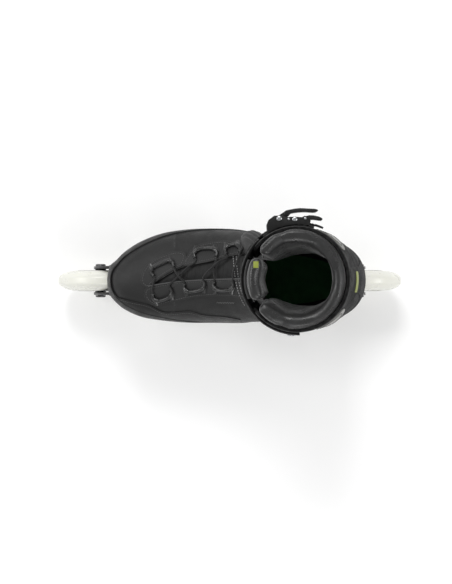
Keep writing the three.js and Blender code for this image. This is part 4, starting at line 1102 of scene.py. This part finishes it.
# Moulded ribs fan out above each pivot.
for name, side in SIDES.items():
    ribs = []
    for top_x, top_z in ((-52, 150), (-70, 160), (-90, 156)):
        lean = top_x - PIVOT[0]
        low, middle = (PIVOT[0] + 0.28 * lean, PIVOT[1] + 13), (PIVOT[0] + 0.6 * lean, 128)
        line = spline([low, middle, (top_x, top_z)], 8)
        ribs.append([(x, side * Skin(CUFF_OUT).beside(x, z, side), z) for x, z in line])
    piping(f"cuff_ribs_{name}", ribs, 1.3, RAND, "cuff")


# ------------------------------------------------------------------ strap, ladder and buckle
STRAP = (7.5, 10.9)
STRAP_Z = (170, 202)
STRAP_MIDDLE = 186
LADDER = (11.2, 13.5)


def turn_at(d, x, side, z=STRAP_MIDDLE):
    """The turn about the leg's axis at which the form at offset d has that x."""
    low, high = 0.0, math.pi
    for _ in range(30):
        middle = (low + high) / 2
        low, high = (middle, high) if Skin(d).around(side * middle, z)[0] > x else (low, middle)
    return side * low


def band(name, d_in, d_out, turn0, turn1, count, z0, z1, radius, finish, replaces, profile=None, levels=0):
    """A flat strap round the leg, with rounded edges. The profile adds to its thickness along the way."""
    section = []
    for z, d, start in ((z1, 1, 0), (z0, 1, 1), (z0, 0, 2), (z1, 0, 3)):
        centre = (z - math.copysign(radius, z - (z0 + z1) / 2), d_out - radius if d else d_in + radius)
        for t in np.linspace(start, start + 1, 5) * math.pi / 2:
            section.append((centre[0] + radius * math.cos(t), centre[1] + radius * math.sin(t)))
        if start == 0 or start == 2:
            inner_row = d_out if start == 0 else d_in
            steps = np.linspace(z, z1 + z0 - z, 9)[1:-1]
            steps = steps[(steps > z0 + radius) & (steps < z1 - radius)]
            section += [(s, inner_row) for s in steps]
    rings = []
    for k, turn in enumerate(np.linspace(turn0, turn1, count)):
        ring = []
        for z, d in section:
            share = (d - d_in) / (d_out - d_in)
            extra = share * (profile(k) if profile else 0)
            a, b = Skin(d_in).around(turn, z), Skin(d_out).around(turn, z)
            ring.append(a + (b - a) * (share + extra / (d_out - d_in)))
        rings.append(ring)
    return piece(name, rings_mesh(rings), finish, "cuff", replaces, sharp=45, levels=levels)


strap_ends = turn_at(STRAP[0], -74, 1), turn_at(STRAP[0], -34, -1)
band("strap_band", *STRAP, *strap_ends, 90, *STRAP_Z, 1.2, PLASTIC, ["cuff_strap"])


def strap_lines(edge, d):
    """Two lines along the strap, that far inside its edges and that far off its outer face."""
    turns = np.linspace(*strap_ends, 80)
    return [[Skin(STRAP[1]).around(t, z) + d * np.array([math.cos(t), math.sin(t), 0]) for t in turns]
            for z in (STRAP_Z[0] + edge, STRAP_Z[1] - edge)]


stitches("strap_stitching", strap_lines(3.5, 0.15), THREAD, pitch=3.0, length=2.1, radius=0.3, body="cuff",
         zigzag=0.25)
piping("strap_edging", strap_lines(0.9, -0.5), 1.0, RAND, "cuff")
pad_ends = turn_at(4, -24, 1), turn_at(4, -24, -1)
strap_pad = band("strap_padding", 4.0, 7.1, *pad_ends, 60, 166.4, 205.6, 1.4, STRAP_PAD, ["cuff_strap_pad"],
                 levels=1)

ladder_ends = turn_at(LADDER[0], -19, -1), turn_at(LADDER[0], -99, -1)
tooth = lambda k: 0.0 if k < 24 or k > 180 else -0.75 * ((k % 6) / 6)
band("ladder_band", *LADDER, *ladder_ends, 200, 176.3, 195.7, 0.5, BUCKLE, ["ladder_strap"], tooth)

LEVER_PIN, RELEASE_PIN = (-52.4, -64.9), (-80, -65.2)
CHEEK_LOW, CHEEK_TOP, CHEEK = 173.2, 198.8, 1.8
plate_ends = turn_at(STRAP[0], -38, -1), turn_at(STRAP[0], -89, -1)
band("buckle_plate", *STRAP, *plate_ends, 40, CHEEK_LOW, CHEEK_TOP, 0.6, BUCKLE, ["buckle_base"])
cheek_outside = [(-39, -58.5), (-41, -63.5), (-47, -68), (-52, -68.2), (-56, -68), (-60, -66.6), (-69, -66.9),
                 (-77, -66.4), (-79, -67.8), (-83, -67.6), (-86, -62.5)]
parts = []
for low in (CHEEK_LOW, CHEEK_TOP - CHEEK):
    seat = [Skin(8.6).around(turn_at(8.6, x, -1, low), low)[:2] for x in np.linspace(-84, -40, 12)]
    parts.append(slab(cheek_outside + [tuple(p) for p in seat], low, low + CHEEK, 0.35))
piece("buckle_cheeks", merged(parts), BUCKLE, "cuff", sharp=35)


def pin(name, place, r, replaces=(), low=CHEEK_LOW - 0.3, high=CHEEK_TOP + 0.3, shaft=1.5):
    """An upright rivet with a rounded head at each end."""
    profile = [(0, low - 1), (r * 0.55, low - 0.95), (r - 0.3, low - 0.55), (r, low), (shaft, low),
               (shaft, high), (r, high), (r - 0.3, high + 0.55), (r * 0.7, high + 0.85),
               (r * 0.42, high + 1.0), (r * 0.34, high + 0.75), (0, high + 0.75)]
    piece(name, turned(profile, place, "Z", 40), STEEL, "cuff", replaces, sharp=35)


pin("lever_rivet", LEVER_PIN, 3.0, replaces=["lever_pin"])
pin("release_rivet", RELEASE_PIN, 1.7, replaces=["release_pin"])
for name, place, r in (("middle", (-69, -64.2), 2.9), ("small", (-62.4, -64.4), 1.5)):
    pin(f"cheek_rivet_{name}", place, r, low=CHEEK_TOP - 1.2, high=CHEEK_TOP - 0.1, shaft=1.0)

ARM_LOW, ARM_TOP = CHEEK_LOW + 2.1, CHEEK_TOP - 2.1
handle = spline([(-58, -72.6), (-66, -75), (-74, -76), (-84, -75.6), (-92, -75), (-94, -73.6), (-91, -71.8),
                 (-82, -72.2), (-74, -72), (-66, -70.8), (-58, -68.6)], 3, closed=True)
arm = spline([(-50, -66), (-52, -62.3), (-58, -65.5), (-64, -69.4), (-64.5, -74), (-58, -72.2), (-53, -69)],
             4, True)
parts = [slab(handle, CHEEK_LOW, CHEEK_TOP, 0.6)]
parts += [slab(arm, low, low + 3, 0.4) for low in (ARM_LOW, ARM_TOP - 3)]
for k in range(7):
    x = -75 - 2.4 * k
    y = np.interp(-x, (66, 74, 92), (-75, -76, -75))
    ridge = [(x, y - 0.05, z) for z in np.linspace(CHEEK_LOW + 3, CHEEK_TOP - 3, 8)]
    parts.append(tube(ridge, 0.45, 8, up=(0, 1, 0)))
piece("ratchet_lever", merged(parts), BUCKLE, "buckle_lever", ["buckle_lever"], sharp=35)

tab = spline([(-78, -62.6), (-86, -64), (-93, -63.6), (-98, -63.2), (-98.6, -64.8), (-94, -67.4), (-82, -68)],
             4, True)
parts = [slab(tab, ARM_LOW, ARM_TOP, 0.5)]
for k in range(4):
    ridge = [(-90 - 2 * k, -67.5 + 0.62 * k, z) for z in np.linspace(ARM_LOW + 2, ARM_TOP - 2, 6)]
    parts.append(tube(ridge, 0.4, 8, up=(0, 1, 0)))
piece("release_tab", merged(parts), BUCKLE, "release_lever", ["release_lever"], sharp=35)

SCREW = (-66, STRAP_MIDDLE)
wall_y = Skin(0).beside(*SCREW, 1)
screw = [(0, 4.2), (2.2, 4.2), (2.2, 11.8), (4.6, 11.8), (5, 12.2), (4.4, 13.1), (3.2, 13.35), (2, 13.3),
         (1.9, 12.4), (0, 12.4)]
piece("strap_bolt", turned([(r, wall_y + y) for r, y in screw], SCREW, segments=48, hexed=(7, 8)),
      STEEL, "cuff", ["strap_screw"], sharp=35)

# ------------------------------------------------------------------ instep strap end
LEAF = (-27.5, 88)
LEAF_SKIN = 2


def leaf_region(p):
    """A leaf-shaped outline on the outer side, leaning back, 28 mm wide and 46 mm tall."""
    x, z = p[..., 0] - LEAF[0], p[..., 2] - LEAF[1]
    along, across = x * 0.94 + z * 0.34, z * 0.94 - x * 0.34
    return 14 * (1 - ((np.abs(along) / 14) ** 2.3 + (np.abs(across) / 23) ** 2.0) ** 0.5)


leaf_patch = Patch(6, 13, 200, math.pi, math.pi * 1.85, 170, leaf_region, LEAF_SKIN)
free = leaf_patch.distance(LEAF_SKIN)
place = leaf_patch.at(LEAF_SKIN)
stripes = np.clip(np.sin((place[:, 0] * 0.8 + place[:, 2] * 0.6) * 2 * math.pi / 4.6) * 1.6, -1, 1)
height = 0.9 + 9.3 * (1 - np.exp(-free / 5.0)) + 0.6 * stripes * np.clip((free - 3) / 2, 0, 1)
instep = shell("instep_pad", leaf_patch, height, 0.4, STRAP_PAD, replaces=["instep_strap"], bevel=0.4,
               sharp=0)
stitches("instep_pad_stitching", leaf_patch.lines(2.2, 3.2), THREAD, pitch=2.6, length=1.8, radius=0.25)
middle, normal = Skin(0).hit((-15.5, -42, 500), (0, 0, -1))
side = np.cross(normal, (1, 0, 0))
side /= np.linalg.norm(side)
other = np.cross(side, normal)
ring_middle = middle + normal * 2.6
ring_path = [ring_middle + 5.2 * side * math.cos(t) + 3.4 * other * math.sin(t)
             for t in np.linspace(0, FULL, 41)[:-1]]
piece("instep_ring", tube(ring_path, 0.95, 10, closed=True, up=normal), DARK_STEEL, sharp=0)

# ------------------------------------------------------------------ lace guides and lace
LACE_HEIGHT, LACE_R = 2.1, 1.1
GUIDES = {
    "outer_1": ((88, -11.5), (66, -21)),
    "outer_2": ((38, -31), (15, -32.5)),
    "outer_3": ((3, -34.5), (-11, -36.5)),
    "inner_1": ((84, 21.5), (65, 15.5)),
    "inner_2": ((49, 11), (28, 8)),
    "inner_3": ((16, 8.5), (-4, 9)),
}


def guide_places(name):
    """A function from (end, forward, outward, lift) to a point by that guide."""
    a, b = (np.array(p, float) for p in GUIDES[name])
    along = (b - a) / np.linalg.norm(b - a)
    out = np.array([-along[1], along[0]])
    if out[1] * SIDES[name[:5]] < 0:
        out = -out
    ends = {"a": a, "b": b}

    def at(end, forward, outward, lift):
        x, y = ends[end] + along * forward + out * outward
        return Skin(0).above(x, y, lift)
    return at


LEG = 7  # from a guide's bar to its two mouths, towards the throat


def guide_line(name):
    """The line of a guide's tunnel, which the lace in it follows too, from one mouth to the other."""
    at = guide_places(name)
    return [at("a", -0.6, -LEG, 2.9), at("a", -1.2, -2.5, 3.0), at("a", 2.4, 1.4, 3.4),
            at("b", -2.4, 1.4, 3.4), at("b", 1.2, -2.5, 3.0), at("b", 0.6, -LEG, 2.9)]


def wound(start, end):
    """Light thread wound round a guide between two points of its line."""
    run = end - start
    along = run / np.linalg.norm(run)
    side = np.cross(along, (0, 0, 1))
    side /= np.linalg.norm(side)
    up = np.cross(side, along)
    hoops = []
    for k in range(11):
        middle = start + run * k / 10
        hoop = [middle + along * 0.7 * math.sin(t) + 2.0 * (side * math.cos(t) + up * math.sin(t))
                for t in np.linspace(0, FULL, 21)[:-1]]
        hoops.append(tube(hoop, 0.4, 6, closed=True, up=along))
    return merged(hoops)


for name in GUIDES:
    at = guide_places(name)
    path = spline(guide_line(name), 10)
    share = np.linspace(0, 1, len(path))
    knuckle = np.exp(-((share - 0.33) / 0.09) ** 2) + np.exp(-((share - 0.67) / 0.09) ** 2)
    mouth = np.abs(share - 0.5) > 0.46
    parts = [tube(path, 1.85 + 0.75 * knuckle + 0.35 * mouth, 16)]
    for end, forward in (("a", 1), ("b", -1)):
        foot = spline([at(end, forward * -0.5, -1.5, 1.9), at(end, forward * 0.4, 2.5, 1.9),
                       at(end, forward * 0.8, 6.5, 1.8)], 8)
        parts.append(tube(foot, np.linspace(3.4, 2.2, len(foot)), 14, flatten=0.36))
    piece(f"guide_{name}", merged(parts), GUIDE, replaces=[f"lace_guide_{name}"], sharp=50)
    if name == "outer_1":
        piece("guide_outer_1_webbing", wound(path[21], path[29]), WEBBING, sharp=0)


def lace_pass(name, reverse):
    at = guide_places(name)
    points = [at("a", -0.3, -LEG - 3, 2.2), *guide_line(name), at("b", 0.3, -LEG - 3, 2.2)]
    return points[::-1] if reverse else points


passes = [lace_pass("inner_3", True), lace_pass("outer_2", True), lace_pass("inner_1", True),
          lace_pass("outer_1", False), lace_pass("inner_2", False), lace_pass("outer_3", False)]
over = [0, 0, 0, 2 * LACE_R + 0.7, 2 * LACE_R + 0.7]
route = [ring_middle]
for share, shift, lift in ((0.2, -1, 1.2), (0.4, -1.5, 1.8), (0.62, -1, 1.2), (0.84, 0, 0.4)):
    x, y = (ring_middle + (passes[0][0] - ring_middle) * share)[:2] + [shift, 0]
    route.append(Skin(0).above(x, y, LACE_HEIGHT + 0.6 + lift))
for k, points in enumerate(passes):
    route += points
    if k + 1 < len(passes):
        p, q = points[-1], passes[k + 1][0]
        for t in (0.25, 0.5, 0.75):
            x, y = (p + (q - p) * t)[:2]
            route.append(Skin(0).above(x, y, LACE_HEIGHT + 0.6 + over[k]))
path = spline(route, 9)
piece("lace_braid", tube(path, LACE_R, 12), LACE, replaces=["lace"], sharp=0, uv=tube_uv(path, 12))
stitches("guide_zigzag", [[Skin(0).above(x, 25.5 - 0.02 * x, 0.25) for x in np.linspace(15, -5, 20)]], THREAD,
         pitch=1.5, length=1.3, radius=0.25, zigzag=1.1)

graph = bpy.context.evaluated_depsgraph_get()


def dropped(objects, places, lift):
    """Points (x, y) brought down onto the first of some pieces that each meets, and lifted a little."""
    trees = []
    for obj in objects:
        final = obj.evaluated_get(graph)
        shown = final.to_mesh()
        faces = [list(p.vertices) for p in shown.polygons]
        trees.append(BVHTree.FromPolygons([v.co[:] for v in shown.vertices], faces))
        final.to_mesh_clear()
    found = []
    for x, y in places:
        start = Vector(on_boot([x, y, 240]))
        hits = [hit[0] for hit in (tree.ray_cast(start, Vector((0, 0, -1))) for tree in trees) if hit[0]]
        found.append(np.array(max(hits, key=lambda hit: hit[2])) / MM - [0, SHIFT_Y, SOLE_Z] + [0, 0, lift])
    return found


# Two rows of stitches cross the flaps and the tongue just in front of the cuff.
front_arc = spline([(-7, -27), (-7.5, -19), (-8.5, -9), (-10.5, 5), (-14.5, 18), (-20, 29)], 10)
under = [bpy.data.objects[name] for name in ("tongue_padding", "flap_rear", "eyestay_inner",
                                             "quarter_inner_side", "quarter_outer_side")]
arcs = [dropped(under, front_arc + [shift, 0], 0.25) for shift in (0, 3.4)]
stitches("collar_stitching", arcs, LIGHT_THREAD, pitch=3.0, length=1.9, radius=0.36)

# A plain woven tab lies on top of the tongue.
rows = []
for y in np.linspace(-19, -12, 9):
    over = dropped([tongue_top], [(x, y) for x in np.linspace(-24.5, -30, 8)], 0)
    rows.append([p + [0, 0, 0.9] for p in over] + [p + [0, 0, 0.2] for p in over[::-1]])
piece("tongue_tab", rings_mesh(rows), ACCENT, "cuff", bevel=0.2)

# ------------------------------------------------------------------ floor and light
floor_mesh = bpy.data.meshes.new("floor")
floor_mesh.from_pydata([(-8, -8, 0), (8, -8, 0), (8, 8, 0), (-8, 8, 0)], [], [(0, 1, 2, 3)])
floor_finish = bpy.data.materials.new("floor")
floor_finish.use_nodes = True
tree = floor_finish.node_tree
feed(tree, tree.nodes["Principled BSDF"], {"Base Color": (0.97, 0.97, 0.97, 1), "Roughness": 0.9})
floor_mesh.materials.append(floor_finish)
floor = show("floor", floor_mesh)

world = bpy.data.worlds.new("studio")
world.use_nodes = True
tree = world.node_tree
feed(tree, tree.nodes["Background"], {"Color": (1, 1, 1, 1), "Strength": 0.52})
bpy.context.scene.world = world
for name, place, size, power in (
    ("outer_light", (0.2, -1.7, 2.1), 1.0, 30), ("toe_light", (2.0, -0.4, 1.6), 0.8, 18),
    ("inner_light", (-0.3, 1.9, 1.7), 0.8, 16), ("heel_light", (-2.0, 0.3, 1.6), 0.8, 14),
):
    light_data = bpy.data.lights.new(name, "AREA")
    light_data.size = size
    light_data.energy = power
    light = show(name, light_data)
    light.location = place
    light.rotation_euler = (Vector((0, 0, 0.15)) - Vector(place)).to_track_quat("-Z", "Y").to_euler()
bpy.context.scene.view_settings.view_transform = "Standard"
